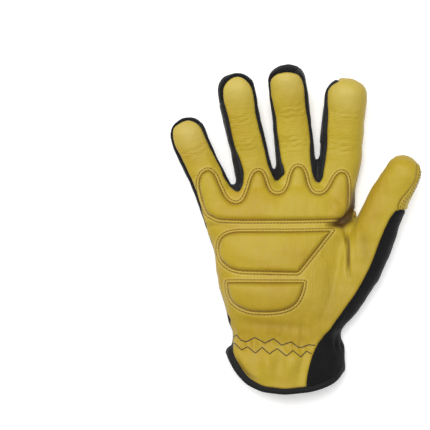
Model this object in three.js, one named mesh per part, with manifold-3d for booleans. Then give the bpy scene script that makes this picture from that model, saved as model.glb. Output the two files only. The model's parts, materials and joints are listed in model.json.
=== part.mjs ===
import * as THREE from "three";
import Module from "manifold-3d";
import { mergeVertices } from "three/addons/utils/BufferGeometryUtils.js";

const wasm = await Module();
wasm.setup();

// Driving dimensions in millimetres; every table below holds shares of the glove's length
const gloveLength = 250;
const wallThickness = 1.6;
const seamGap = 0.35;
const palmPadThickness = 3.4;
const fingerPadThickness = 1.5;
const bindingThickness = 1.1;
const bindingWidth = 4.6;
const gatherDepth = 0.9;
const holeRadius = 0.8;
const restHeight = 0;
const padRim = 1.4;
const padFoot = 0.090;

const length = (share) => share * gloveLength;
const farAway = 2 * gloveLength;
const upAndDown = { depth: 2 * farAway, bevelEnabled: false, steps: 1 };
const level = (z) => [
  { y: -1, z },
  { y: 2, z },
];

// The hand's body from the mouth of the cuff to the webs of the fingers
const bodyRows = [
  { y: -0.030, left: -0.179, right: 0.180, bottom: -0.008, top: 0.138, gather: 0.2 },
  { y: 0.090, left: -0.181, right: 0.193, bottom: -0.008, top: 0.140, gather: 0.6 },
  { y: 0.145, left: -0.166, right: 0.191, bottom: -0.008, top: 0.132, gather: 1 },
  { y: 0.176, left: -0.154, right: 0.178, bottom: -0.008, top: 0.130, gather: 1 },
  { y: 0.206, left: -0.160, right: 0.183, bottom: -0.008, top: 0.134, gather: 0.6 },
  { y: 0.303, left: -0.187, right: 0.200, bottom: -0.008, top: 0.146, gather: 0 },
  { y: 0.360, left: -0.199, right: 0.206, bottom: -0.008, top: 0.144, gather: 0 },
  { y: 0.425, left: -0.208, right: 0.209, bottom: -0.008, top: 0.138, gather: 0 },
  { y: 0.486, left: -0.226, right: 0.216, bottom: -0.008, top: 0.132, gather: 0 },
  { y: 0.543, left: -0.241, right: 0.217, bottom: -0.006, top: 0.126, gather: 0 },
  { y: 0.589, left: -0.222, right: 0.214, bottom: -0.002, top: 0.119, gather: 0 },
  { y: 0.619, left: -0.185, right: 0.205, bottom: 0.010, top: 0.108, gather: 0 },
  { y: 0.638, left: -0.145, right: 0.188, bottom: 0.030, top: 0.090, gather: 0 },
];

// Height of the middle of the fingers, and of the thumb, over the surface that the glove lies on
const fingerLift = [
  { y: 0.500, z: 0.056 },
  { y: 0.650, z: 0.058 },
  { y: 0.750, z: 0.070 },
  { y: 0.850, z: 0.094 },
  { y: 0.950, z: 0.130 },
  { y: 1.050, z: 0.172 },
];
const thumbLift = [
  { y: 0.200, z: 0.070 },
  { y: 0.320, z: 0.078 },
  { y: 0.440, z: 0.090 },
  { y: 0.560, z: 0.110 },
  { y: 0.650, z: 0.130 },
  { y: 0.750, z: 0.158 },
];

// Middle lines of the fingers and the thumb, with their half width and half depth
const limbs = {
  pinky: {
    lift: fingerLift,
    rows: [
      { x: -0.185, y: 0.522, wide: 0.052, deep: 0.044 },
      { x: -0.214, y: 0.619, wide: 0.056, deep: 0.043 },
      { x: -0.252, y: 0.701, wide: 0.055, deep: 0.041 },
      { x: -0.276, y: 0.755, wide: 0.056, deep: 0.039 },
      { x: -0.288, y: 0.793, wide: 0.054, deep: 0.037 },
    ],
  },
  ring: {
    lift: fingerLift,
    rows: [
      { x: -0.064, y: 0.522, wide: 0.058, deep: 0.046 },
      { x: -0.083, y: 0.649, wide: 0.059, deep: 0.044 },
      { x: -0.106, y: 0.756, wide: 0.056, deep: 0.042 },
      { x: -0.128, y: 0.845, wide: 0.057, deep: 0.041 },
      { x: -0.143, y: 0.925, wide: 0.056, deep: 0.038 },
    ],
  },
  middle: {
    lift: fingerLift,
    rows: [
      { x: 0.049, y: 0.522, wide: 0.060, deep: 0.047 },
      { x: 0.043, y: 0.649, wide: 0.061, deep: 0.045 },
      { x: 0.035, y: 0.756, wide: 0.060, deep: 0.043 },
      { x: 0.023, y: 0.860, wide: 0.058, deep: 0.042 },
      { x: 0.010, y: 0.951, wide: 0.057, deep: 0.039 },
    ],
  },
  index: {
    lift: fingerLift,
    rows: [
      { x: 0.155, y: 0.513, wide: 0.056, deep: 0.047 },
      { x: 0.165, y: 0.649, wide: 0.059, deep: 0.045 },
      { x: 0.176, y: 0.745, wide: 0.063, deep: 0.044 },
      { x: 0.182, y: 0.830, wide: 0.062, deep: 0.043 },
      { x: 0.190, y: 0.907, wide: 0.062, deep: 0.040 },
    ],
  },
  thumb: {
    lift: thumbLift,
    rows: [
      { x: 0.112, y: 0.190, wide: 0.050, deep: 0.056 },
      { x: 0.192, y: 0.310, wide: 0.064, deep: 0.060 },
      { x: 0.253, y: 0.425, wide: 0.069, deep: 0.056 },
      { x: 0.303, y: 0.560, wide: 0.062, deep: 0.050 },
      { x: 0.359, y: 0.672, wide: 0.054, deep: 0.044 },
    ],
  },
};
const tipLength = length(0.050);
const ringPoints = 14;
const bodyPoints = 28;
const gathersRound = 7;
const squareness = 2.3;
const tipRings = 3;
const lastRingShare = 0.35;

// A point's value in a table of rows, by straight lines between the rows
function heightAt(table, y) {
  const last = table.length - 1;
  const at = table.findIndex((row) => row.y >= y);
  const upper = at < 1 ? (at === 0 ? 1 : last) : at;
  const below = table[upper - 1];
  const above = table[upper];
  return THREE.MathUtils.mapLinear(y, below.y, above.y, below.z, above.z);
}

// Closed surface through rings of points, with a fan at each end
function skin(rings) {
  const count = rings[0].length;
  const middle = (ring) =>
    ring.reduce((sum, point) => sum.add(point), new THREE.Vector3()).divideScalar(count);
  const points = rings.flat();
  const firstMiddle = points.push(middle(rings[0])) - 1;
  const lastMiddle = points.push(middle(rings[rings.length - 1])) - 1;
  const faces = [];
  for (let row = 0; row < rings.length - 1; row += 1) {
    for (let step = 0; step < count; step += 1) {
      const a = row * count + step;
      const b = row * count + ((step + 1) % count);
      faces.push(a, b, b + count, a, b + count, a + count);
    }
  }
  const lastRow = (rings.length - 1) * count;
  for (let step = 0; step < count; step += 1) {
    const next = (step + 1) % count;
    faces.push(firstMiddle, next, step, lastMiddle, lastRow + step, lastRow + next);
  }
  const solid = new wasm.Manifold(
    new wasm.Mesh({
      numProp: 3,
      vertProperties: new Float32Array(points.flatMap((point) => point.toArray())),
      triVerts: new Uint32Array(faces),
    }),
  );
  return solid;
}

// Rounded ring in the plane of two directions
function ring(centre, across, upward, halfWidth, halfDepth, count, waves = 0, waveDepth = 0) {
  const points = [];
  for (let step = 0; step < count; step += 1) {
    const angle = (step / count) * 2 * Math.PI;
    const power = 2 / squareness;
    const wave = 1 + (waveDepth / halfDepth) * Math.cos(waves * angle);
    const side = Math.sign(Math.cos(angle)) * Math.abs(Math.cos(angle)) ** power * halfWidth * wave;
    const rise = Math.sign(Math.sin(angle)) * Math.abs(Math.sin(angle)) ** power * halfDepth * wave;
    points.push(centre.clone().addScaledVector(across, side).addScaledVector(upward, rise));
  }
  return points;
}

const sideways = new THREE.Vector3(1, 0, 0);
const upright = new THREE.Vector3(0, 0, 1);

function bodyForm(grow) {
  const rings = bodyRows.map((row, index) => {
    const isEnd = index === bodyRows.length - 1;
    const centre = new THREE.Vector3(
      length((row.left + row.right) / 2),
      length(row.y) + (isEnd ? grow : 0),
      length((row.bottom + row.top) / 2),
    );
    const halfWidth = length((row.right - row.left) / 2) + grow;
    const halfDepth = length((row.top - row.bottom) / 2) + grow;
    const waveDepth = row.gather * gatherDepth;
    return ring(centre, sideways, upright, halfWidth, halfDepth, bodyPoints, gathersRound, waveDepth);
  });
  return skin(rings.reverse());
}

function limbForm(limb, grow) {
  const centres = limb.rows.map(
    (row) => new THREE.Vector3(length(row.x), length(row.y), length(heightAt(limb.lift, row.y))),
  );
  const path = new THREE.CatmullRomCurve3(centres);
  const rings = [];
  let across;
  let upward;
  let forward;
  let halfWidth;
  let halfDepth;
  limb.rows.forEach((row, index) => {
    const along = index / (limb.rows.length - 1);
    halfWidth = length(row.wide) + grow;
    halfDepth = length(row.deep) + grow;
    forward = path.getTangent(along);
    across = new THREE.Vector3().crossVectors(forward, upright).normalize();
    upward = new THREE.Vector3().crossVectors(across, forward);
    rings.push(ring(path.getPoint(along), across, upward, halfWidth, halfDepth, ringPoints));
  });
  const tipStart = path.getPoint(1);
  for (let step = 1; step <= tipRings; step += 1) {
    const angle = (step / (tipRings + lastRingShare)) * (Math.PI / 2);
    const centre = tipStart.clone().addScaledVector(forward, (tipLength + grow) * Math.sin(angle));
    const share = Math.cos(angle);
    rings.push(ring(centre, across, upward, halfWidth * share, halfDepth * share, ringPoints));
  }
  return skin(rings.reverse());
}

// The whole hand, grown or shrunk all round, cut flat where it lies
function handForm(grow, floorHeight = restHeight) {
  let form = bodyForm(grow);
  for (const limb of Object.values(limbs)) form = form.add(limbForm(limb, grow));
  return form.intersect(above(level(floorHeight / gloveLength)));
}

function solidOf(geometry) {
  const bare = geometry.clone();
  bare.deleteAttribute("normal");
  bare.deleteAttribute("uv");
  const merged = mergeVertices(bare, 1e-4);
  return new wasm.Manifold(
    new wasm.Mesh({
      numProp: 3,
      vertProperties: new Float32Array(merged.attributes.position.array),
      triVerts: new Uint32Array(merged.index.array),
    }),
  );
}

// Everything over a line of heights, whatever its side position
function above(line, grow = 0) {
  const shape = new THREE.Shape();
  const points = line.map((point) => [length(point.y), length(point.z) - grow]);
  shape.moveTo(points[0][0], points[0][1]);
  points.slice(1).forEach(([y, z]) => shape.lineTo(y, z));
  shape.lineTo(points[points.length - 1][0], farAway);
  shape.lineTo(points[0][0], farAway);
  const slab = new THREE.ExtrudeGeometry(shape, upAndDown);
  slab.translate(0, 0, -farAway);
  const turn = new THREE.Matrix4().makeBasis(
    new THREE.Vector3(0, 1, 0),
    new THREE.Vector3(0, 0, 1),
    new THREE.Vector3(1, 0, 0),
  );
  return solidOf(slab.applyMatrix4(turn));
}

// Outline moved outwards by a distance, its corners kept sharp
function grown(outline, distance) {
  const count = outline.length;
  const area = THREE.ShapeUtils.area(outline);
  const turned = Math.sign(area) * distance;
  return outline.map((point, index) => {
    const before = point.clone().sub(outline[(index + count - 1) % count]).normalize();
    const after = outline[(index + 1) % count].clone().sub(point).normalize();
    const first = new THREE.Vector2(before.y, -before.x);
    const second = new THREE.Vector2(after.y, -after.x);
    const scale = turned / Math.max(0.4, 1 + first.dot(second));
    return point.clone().addScaledVector(first.add(second), scale);
  });
}

// Upright block with a plan outline given in shares; lean moves its top along the hand
function block(outline, grow = 0, lean = 0) {
  const points = outline.map(([x, y]) => new THREE.Vector2(length(x), length(y)));
  const shape = new THREE.Shape(grown(points, grow));
  const geometry = new THREE.ExtrudeGeometry(shape, upAndDown);
  geometry.translate(0, 0, -farAway);
  const shear = new THREE.Matrix4().set(1, 0, 0, 0, 0, 1, lean, 0, 0, 0, 1, 0, 0, 0, 0, 1);
  return solidOf(geometry.applyMatrix4(shear));
}

// Plan outlines of the panels
const webs = {
  ringPinky: { x: -0.137, y: 0.600 },
  middleRing: { x: -0.020, y: 0.628 },
  indexMiddle: { x: 0.106, y: 0.628 },
};
const axisLine = (limb) => limb.rows.slice(1).map((row) => [row.x, row.y]);
const tipReach = 3;
function beyondTip(limb) {
  const last = limb.rows[limb.rows.length - 1];
  const before = limb.rows[limb.rows.length - 2];
  return [last.x + (last.x - before.x) * tipReach, last.y + (last.y - before.y) * tipReach];
}

// The strip between two fingers, from its web to the last row of each, or on over a tip
const webHalf = 0.006;
function zoneBetween(left, right, web, overTip = []) {
  return [
    [web.x - webHalf, web.y],
    [web.x + webHalf, web.y],
    ...axisLine(right),
    ...overTip,
    ...axisLine(left).reverse(),
  ];
}
const indexTip = beyondTip(limbs.index);
const fourchetteZones = {
  fourchette_ring_pinky: zoneBetween(limbs.pinky, limbs.ring, webs.ringPinky),
  fourchette_middle_ring: zoneBetween(limbs.ring, limbs.middle, webs.middleRing),
  fourchette_index_middle: zoneBetween(limbs.middle, limbs.index, webs.indexMiddle, [indexTip]),
};
const pinkyOuterZone = [
  [-0.6, 0.560],
  [-0.214, 0.560],
  ...axisLine(limbs.pinky),
  beyondTip(limbs.pinky),
  [-0.6, 1],
];
const indexOuterZone = [
  [0.158, 0.560],
  [0.260, 0.560],
  [0.290, 1.1],
  indexTip,
  ...axisLine(limbs.index).reverse(),
];
const thumbZone = [
  [0.216, 0.544],
  [0.290, 0.900],
  [0.700, 0.900],
  [0.700, 0.250],
  [0.216, 0.250],
];
const darkSide = [
  [0.368, 0.561],
  [0.342, 0.560],
  [0.316, 0.522],
  [0.285, 0.449],
  [0.243, 0.349],
  [0.203, 0.285],
  [0.143, 0.197],
  [0.101, 0.149],
  [0.079, 0.094],
  [0.068, 0.027],
  [0.064, -0.100],
  [0.600, -0.100],
  [0.600, 0.570],
];
const thumbShieldZone = [
  [0.219, 0.422],
  [0.262, 0.448],
  [0.305, 0.496],
  [0.342, 0.560],
  [0.600, 0.570],
  [0.600, 0.900],
  [0.290, 0.900],
  [0.205, 0.544],
];
const indexShieldZone = [
  [0.106, 0.560],
  [0.150, 0.535],
  [0.185, 0.500],
  [0.212, 0.452],
  [0.216, 0.544],
  [0.290, 1.1],
  [0.100, 1.1],
];
const hemLine = [
  [-0.500, 0.158],
  [-0.179, 0.146],
  [-0.170, 0.102],
  [-0.152, 0.068],
  [-0.116, 0.028],
  [-0.067, 0.004],
  [0.003, -0.004],
  [0.082, 0.004],
  [0.115, 0.013],
  [0.152, 0.028],
  [0.175, 0.045],
  [0.193, 0.082],
  [0.500, 0.098],
];
const hemLean = 0.03;

// Heights of the seams along the hand
const bodySeam = 0.066;
const stripHalf = 0.025;
const raised = (table, amount) => table.map((row) => ({ y: row.y, z: row.z + amount }));
const frontSeam = [
  { y: -1, z: bodySeam },
  { y: 0.500, z: bodySeam },
  ...raised(fingerLift, stripHalf).slice(1),
];
const backSeam = [
  { y: -1, z: bodySeam },
  { y: 0.500, z: bodySeam },
  ...raised(fingerLift, -stripHalf).slice(1),
];
const pinkySeam = raised(fingerLift, 0.010);
const indexSeam = raised(fingerLift, 0);
const thumbSeam = [{ y: -1, z: 0.066 }, ...thumbLift];

const outer = handForm(0);
const inner = handForm(-wallThickness, wallThickness);
const shell = outer.subtract(inner);

function hemBlock(offset) {
  const line = hemLine.map(([x, y]) => [x, y + offset / gloveLength]);
  return block([...line, [0.500, 2], [-0.500, 2]], 0, hemLean);
}
const walls = shell.intersect(hemBlock(bindingWidth + seamGap));

// The leather of the palm side; a positive grow widens it
function frontRegion(grow) {
  return above(frontSeam, grow)
    .subtract(block(thumbZone, -grow))
    .add(above(thumbSeam, grow).intersect(block(thumbZone, grow)))
    .add(above(pinkySeam, grow).intersect(block(pinkyOuterZone, grow)))
    .add(above(indexSeam, grow).intersect(block(indexOuterZone, grow)))
    .subtract(block(darkSide, -grow));
}
const stripRegion = (zone, grow) => above(backSeam, grow).intersect(block(zone, grow));

const front = frontRegion(0);
const besideFront = walls.subtract(frontRegion(seamGap));
let allStrips = null;
for (const zone of Object.values(fourchetteZones)) {
  const strip = stripRegion(zone, seamGap / 2);
  allStrips = allStrips ? allStrips.add(strip) : strip;
}
const backSide = besideFront.subtract(allStrips);

// Stretch patch over the index joint, round but open to the middle finger
const patchCentre = { x: 0.150, y: 0.695 };
const patchRadius = 0.074;
const patchSteps = 14;
const patchStretch = 1.4;
const patchZone = Array.from({ length: patchSteps }, (_, step) => {
  const angle = (step / patchSteps) * 2 * Math.PI;
  const stretch = Math.cos(angle) < 0 ? patchStretch : 1;
  return [
    patchCentre.x + patchRadius * stretch * Math.cos(angle),
    patchCentre.y + patchRadius * Math.sin(angle),
  ];
});

// The waisted patch of a finger's back: shares along it and of its width, one side
const waistedSide = [
  { along: 0.000, wide: 0.45 },
  { along: 0.060, wide: 0.95 },
  { along: 0.440, wide: 0.98 },
  { along: 0.500, wide: 0.56 },
  { along: 0.560, wide: 1.00 },
  { along: 0.900, wide: 0.88 },
  { along: 1.000, wide: 0.40 },
];
const fingerPads = {
  finger_pad_middle: { from: [0.045, 0.640], to: [0.011, 0.974], half: 0.042, holes: 3 },
  finger_pad_ring: { from: [-0.083, 0.640], to: [-0.146, 0.938], half: 0.036, holes: 2 },
  finger_pad_pinky: { from: [-0.210, 0.600], to: [-0.287, 0.802], half: 0.032, holes: 2 },
};
function padPoint(pad, along, wide) {
  const start = new THREE.Vector2(...pad.from);
  const run = new THREE.Vector2(...pad.to).sub(start);
  const side = new THREE.Vector2(run.y, -run.x).normalize();
  return start.addScaledVector(run, along).addScaledVector(side, wide * pad.half).toArray();
}
const padOutline = (pad) => [
  ...waistedSide.map((row) => padPoint(pad, row.along, row.wide)),
  ...waistedSide.map((row) => padPoint(pad, row.along, -row.wide)).reverse(),
];
const holeCorners = 6;
function padHole(pad, along) {
  const [x, y] = padPoint(pad, along, 0);
  const radius = holeRadius / gloveLength;
  const corners = Array.from({ length: holeCorners }, (_, step) => {
    const angle = (step / holeCorners) * 2 * Math.PI;
    return [x + radius * Math.cos(angle), y + radius * Math.sin(angle)];
  });
  return block(corners);
}

// The two lobes of a patch carry its holes: where each lobe's row of holes starts and ends
const lobes = [
  { start: 0.10, end: 0.42 },
  { start: 0.60, end: 0.90 },
];
function makeFingerPad(pad) {
  const low = handForm(seamGap);
  const high = handForm(seamGap + fingerPadThickness);
  let solid = high.subtract(low).intersect(block(padOutline(pad))).subtract(above(fingerLift));
  for (const lobe of lobes) {
    for (let hole = 0; hole < pad.holes; hole += 1) {
      const along = lobe.start + ((lobe.end - lobe.start) * (hole + 0.5)) / pad.holes;
      solid = solid.subtract(padHole(pad, along));
    }
  }
  return solid;
}

// Pads of the palm: outlines in plan, stepped in towards their tops
const palmPads = {
  pad_knuckle: [
    [-0.212, 0.527],
    [-0.240, 0.543],
    [-0.260, 0.600],
    [-0.272, 0.640],
    [-0.262, 0.670],
    [-0.238, 0.680],
    [-0.214, 0.662],
    [-0.164, 0.597],
    [-0.140, 0.583],
    [-0.120, 0.600],
    [-0.100, 0.674],
    [-0.073, 0.688],
    [-0.052, 0.674],
    [-0.037, 0.622],
    [-0.018, 0.611],
    [0.006, 0.622],
    [0.020, 0.686],
    [0.046, 0.702],
    [0.072, 0.686],
    [0.086, 0.622],
    [0.108, 0.611],
    [0.130, 0.622],
    [0.154, 0.672],
    [0.180, 0.684],
    [0.204, 0.668],
    [0.205, 0.560],
    [0.190, 0.528],
    [0.160, 0.520],
    [-0.185, 0.518],
  ],
  pad_palm: [
    [-0.167, 0.497],
    [0.156, 0.499],
    [0.049, 0.363],
    [-0.155, 0.369],
    [-0.192, 0.400],
    [-0.203, 0.437],
    [-0.197, 0.470],
  ],
  pad_heel: [
    [-0.176, 0.342],
    [0.066, 0.342],
    [0.060, 0.300],
    [0.040, 0.268],
    [-0.009, 0.243],
    [-0.085, 0.241],
    [-0.115, 0.248],
    [-0.153, 0.270],
    [-0.172, 0.302],
  ],
};
const padSteps = [
  { inset: 0, height: 0.6 },
  { inset: padRim, height: 1 },
];
function makePalmPad(outline) {
  const leatherTop = handForm(seamGap);
  let solid = null;
  for (const step of padSteps) {
    const layer = handForm(seamGap + palmPadThickness * step.height)
      .subtract(leatherTop)
      .intersect(block(outline, -step.inset))
      .intersect(above(level(padFoot)));
    solid = solid ? solid.add(layer) : layer;
  }
  return solid;
}

// Binding round the mouth of the cuff, thicker than the walls on both sides
const bindingRing = handForm(bindingThickness, restHeight)
  .subtract(handForm(-wallThickness - bindingThickness, wallThickness + bindingThickness))
  .intersect(hemBlock(0))
  .subtract(hemBlock(bindingWidth));

const inIndexShield = block(indexShieldZone);
const inPatch = block(patchZone);
const inThumbShield = block(thumbShieldZone);
const pieces = {
  palm_leather: walls.intersect(front),
  back_fabric: backSide
    .subtract(block(indexShieldZone, seamGap))
    .subtract(block(thumbShieldZone, seamGap)),
  index_shield: backSide.intersect(inIndexShield).subtract(block(patchZone, seamGap)),
  index_patch: backSide.intersect(inIndexShield).intersect(inPatch),
  thumb_shield: backSide.intersect(inThumbShield).subtract(block(indexShieldZone, seamGap)),
  cuff_binding: bindingRing,
};
for (const [name, zone] of Object.entries(fourchetteZones)) {
  pieces[name] = besideFront.intersect(stripRegion(zone, -seamGap / 2));
}
for (const [name, outline] of Object.entries(palmPads)) pieces[name] = makePalmPad(outline);
for (const [name, pad] of Object.entries(fingerPads)) pieces[name] = makeFingerPad(pad);

const colours = { leather: 0xc6b044, fabric: 0x202022, strip: 0x2a2a2c, binding: 0x18181a };
const colourOf = (name) => {
  if (name.startsWith("fourchette")) return colours.strip;
  if (name === "cuff_binding") return colours.binding;
  return name === "back_fabric" || name === "index_patch" ? colours.fabric : colours.leather;
};

function largestBody(solid) {
  const bodies = solid.decompose();
  return bodies.reduce((best, body) => (body.volume() > best.volume() ? body : best));
}

const glove = new THREE.Group();
for (const [name, solid] of Object.entries(pieces)) {
  const mesh = largestBody(solid).getMesh();
  const geometry = new THREE.BufferGeometry();
  geometry.setAttribute("position", new THREE.BufferAttribute(mesh.vertProperties, mesh.numProp));
  geometry.setIndex(new THREE.BufferAttribute(mesh.triVerts, 1));
  const part = new THREE.Mesh(geometry, new THREE.MeshStandardMaterial({ color: colourOf(name) }));
  part.name = name;
  glove.add(part);
}

// The origin is the middle of the underside of the whole
const bounds = new THREE.Box3().setFromObject(glove);
const middle = bounds.getCenter(new THREE.Vector3());
glove.position.set(-middle.x, -middle.y, -bounds.min.z);

export default glove;
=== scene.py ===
"""Right-hand anti vibration glove, lying palm up: leather palm with pads, black stretch back."""

import json
import math

import bpy
import numpy as np
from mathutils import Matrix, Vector
from mathutils.bvhtree import BVHTree
from mathutils.kdtree import KDTree

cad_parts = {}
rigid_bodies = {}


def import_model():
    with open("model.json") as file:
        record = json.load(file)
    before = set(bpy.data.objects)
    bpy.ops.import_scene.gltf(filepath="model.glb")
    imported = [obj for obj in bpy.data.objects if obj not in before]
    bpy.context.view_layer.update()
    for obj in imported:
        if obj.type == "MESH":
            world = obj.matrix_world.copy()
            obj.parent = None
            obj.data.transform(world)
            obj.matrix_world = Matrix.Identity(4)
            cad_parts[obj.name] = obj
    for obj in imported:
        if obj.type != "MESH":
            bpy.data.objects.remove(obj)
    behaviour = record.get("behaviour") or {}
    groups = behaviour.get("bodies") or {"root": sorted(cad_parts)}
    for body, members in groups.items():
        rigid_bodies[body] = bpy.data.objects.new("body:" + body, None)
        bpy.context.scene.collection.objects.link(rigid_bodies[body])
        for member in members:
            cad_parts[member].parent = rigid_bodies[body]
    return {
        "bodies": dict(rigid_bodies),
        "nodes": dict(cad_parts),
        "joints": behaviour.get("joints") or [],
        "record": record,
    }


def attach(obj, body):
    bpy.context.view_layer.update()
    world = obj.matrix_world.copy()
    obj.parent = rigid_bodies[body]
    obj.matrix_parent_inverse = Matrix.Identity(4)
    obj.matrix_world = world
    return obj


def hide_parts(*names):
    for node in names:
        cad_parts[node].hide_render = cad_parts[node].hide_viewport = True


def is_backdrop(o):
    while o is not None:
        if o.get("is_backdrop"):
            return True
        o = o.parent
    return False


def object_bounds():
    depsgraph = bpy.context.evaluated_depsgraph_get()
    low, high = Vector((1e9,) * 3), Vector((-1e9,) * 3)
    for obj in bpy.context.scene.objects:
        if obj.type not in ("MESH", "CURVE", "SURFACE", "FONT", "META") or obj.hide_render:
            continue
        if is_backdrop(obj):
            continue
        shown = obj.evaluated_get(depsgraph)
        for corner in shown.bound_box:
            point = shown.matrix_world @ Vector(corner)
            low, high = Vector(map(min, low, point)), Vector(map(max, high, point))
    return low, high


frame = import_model()
CAD_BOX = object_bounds()

# Driving sizes in millimetres; the tables of places hold thousandths of the glove's length
GLOVE_LENGTH = 250.0
SHIFT = np.array([-8.926, -124.447, 0.0])
MM = 0.001
THOUSANDTHS = 1000
VOXEL = 1.2
LEATHER_THICK = 1.2
FABRIC_THICK = 0.9
BINDING_WIDTH = 4.6
BINDING_THICK = 2.0
PAD_HEIGHT = 3.4
PAD_SINK = 1.7
FINGER_PAD_THICK = 1.3
HOLE_RADIUS = 0.8
STITCH_ROWS_APART = 2.3
STITCH_PITCH = 2.5
STITCH_LENGTH = 1.5
STITCH_RADIUS = 0.38
STITCH_SIDES = 6
SHORTEST_ROW = 6
FINGER_PAD_ROW = 2.0
SHIELD_ROWS = (1.3, 3.4)
THUMB_EDGE_ROWS = (1.2, 2.9)
ZIGZAG_RADIUS = 0.38
CLEARANCE = 0.12
NEAR = 12.0
FLOOR_TURN = 1.2

# How full the pads are, and how much of their crown comes from the cloth simulation
SWELL_SHARE = 0.45

# Grooves along the seams, in millimetres
GROOVE_HALF = 0.8
LEATHER_GROOVE = 0.65
CLOTH_GROOVE = 0.22
THUMB_GROOVE = 0.5

# Outside of a pad, in millimetres: its foot, the rib and dips of its stitch rows, its steep edge
PAD_FOOT = 0.15
RIB_HEIGHT = 0.60
RIB_HALF = 0.62
ROW_DIPS = (0.38, 0.45)
DIP_HALF = 0.55
PAD_EDGE = 4.0
EDGE_POWER = 2.2

# How far the leather of the finger backs lies over the knit, and how uneven the glove is:
# height in millimetres, size in millimetres, seed
SHIELD_RISE = 0.5
PATCH_DIP = 0.6
LUMPS = [(0.30, 24, 1), (0.12, 8, 2)]

# Cloth simulation of a pad's cover
PAD_GRID = 2.0
PAD_FRAMES = 20
PAD_PRESSURE = 40.0

# Fineness of the mesh: points round a section, steps between rows, lengths of edges in millimetres
BODY_SIDES = 96
LIMB_SIDES = 48
ROW_STEPS = 8
TIP_STEPS = 12
EVEN_ROUNDS = 8
PAD_EDGES = (0.95, 0.62)
SEAM_EDGE = 0.75
HOLE_EDGES = (0.8, 0.4)
SNAP = 0.22


def shares(rows):
    """Table of lengths in thousandths of the glove's length, as shares of it."""
    return np.array(rows, float) / THOUSANDTHS


# The hand's body from the mouth of the cuff to the webs: y, left, right, bottom, top
BODY_ROWS = shares([
    [-30, -179, 180, -8, 138], [90, -181, 190, -8, 140], [145, -166, 191, -8, 132],
    [176, -154, 178, -8, 130], [206, -160, 183, -8, 134], [303, -187, 200, -8, 146],
    [360, -199, 197, -8, 144], [425, -208, 198, -8, 138], [486, -226, 217, -8, 132],
    [543, -241, 223, -6, 126], [589, -222, 219, -2, 119], [619, -185, 208, 10, 108],
    [638, -145, 188, 30, 90],
])

# Height of the middle of the fingers and of the thumb over the floor: y, z
FINGER_LIFT = shares([
    [-1000, 56], [500, 56], [650, 58], [750, 70], [850, 94], [950, 130], [1050, 172],
])
THUMB_LIFT = shares([
    [-1000, 66], [200, 70], [320, 78], [440, 90], [560, 110], [650, 130], [750, 158],
])

# Middle lines of the fingers and the thumb: x, y, half width, half depth
LIMBS = {
    "pinky": shares([
        [-185, 522, 52, 44], [-214, 619, 56, 43], [-252, 701, 55, 41], [-276, 755, 56, 39],
        [-288, 793, 54, 37],
    ]),
    "ring": shares([
        [-64, 522, 58, 46], [-83, 649, 59, 44], [-106, 756, 56, 42], [-128, 845, 57, 41],
        [-143, 925, 56, 38],
    ]),
    "middle": shares([
        [49, 522, 60, 47], [43, 649, 61, 45], [35, 756, 60, 43], [23, 860, 58, 42], [10, 951, 57, 39],
    ]),
    "index": shares([
        [159, 513, 60, 47], [167, 649, 61, 45], [178, 745, 65, 44], [184, 830, 64, 43], [191, 907, 63, 40],
    ]),
    "thumb": shares([
        [112, 190, 50, 56], [192, 310, 64, 60], [253, 425, 69, 56], [304, 560, 62, 50], [362, 672, 52, 44],
    ]),
}
TIP_LENGTH = 0.050
SQUARENESS = 2.3

# Line along which the thumb grows out of the palm, where the surface is evened out more
THUMB_VALLEY = shares([
    [232, 590], [218, 548], [207, 500], [204, 450], [212, 400], [222, 345], [215, 300],
])
VALLEY_WIDTH = 13.0
VALLEY_ROUNDS = 60


def height(table, y):
    """Height at places along the glove, between the rows of a table."""
    return np.interp(y, table[:, 0], table[:, 1])


def highest(values):
    """The highest of several values, point by point."""
    return np.max(list(values), axis=0)


def unit(vectors, least=1e-6):
    """Vectors brought to a length of one, apart from those shorter than the least."""
    return vectors / np.maximum(np.linalg.norm(vectors, axis=1), least)[:, None]


def catmull(rows, per_span):
    """Rows of a table joined by a smooth curve through them."""
    padded = np.vstack([2 * rows[0] - rows[1], rows, 2 * rows[-1] - rows[-2]])
    out = []
    for i in range(1, len(padded) - 2):
        p0, p1, p2, p3 = padded[i - 1:i + 3]
        for t in np.linspace(0, 1, per_span, endpoint=False):
            out.append(0.5 * (2 * p1 + (p2 - p0) * t + (2 * p0 - 5 * p1 + 4 * p2 - p3) * t ** 2
                              + (3 * p1 - p0 - 3 * p2 + p3) * t ** 3))
    out.append(padded[-2])
    return np.array(out)


def oval(count):
    """Unit cross-section between an ellipse and a box."""
    angle = np.linspace(0, 2 * math.pi, count, endpoint=False)
    power = 2 / SQUARENESS
    side = np.sign(np.cos(angle)) * np.abs(np.cos(angle)) ** power
    rise = np.sign(np.sin(angle)) * np.abs(np.sin(angle)) ** power
    return side, rise


def skin(rings):
    """Closed mesh through rings of points: vertices and faces."""
    count = len(rings[0])
    verts = np.vstack(list(rings) + [rings[0].mean(0)[None], rings[-1].mean(0)[None]])
    faces = []
    for row in range(len(rings) - 1):
        for step in range(count):
            a = row * count + step
            b = row * count + (step + 1) % count
            faces.append((a, b, b + count, a + count))
    last = (len(rings) - 1) * count
    low, high = len(verts) - 2, len(verts) - 1
    for step in range(count):
        after = (step + 1) % count
        faces.append((low, after, step))
        faces.append((high, last + step, last + after))
    return verts, faces


def body_rings():
    side, rise = oval(BODY_SIDES)
    rings = []
    for y, left, right, bottom, top in catmull(BODY_ROWS, ROW_STEPS):
        ring = np.stack([
            (left + right) / 2 + side * (right - left) / 2,
            np.full_like(side, y),
            (bottom + top) / 2 + rise * (top - bottom) / 2,
        ], 1)
        rings.append(ring)
    return rings


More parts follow.
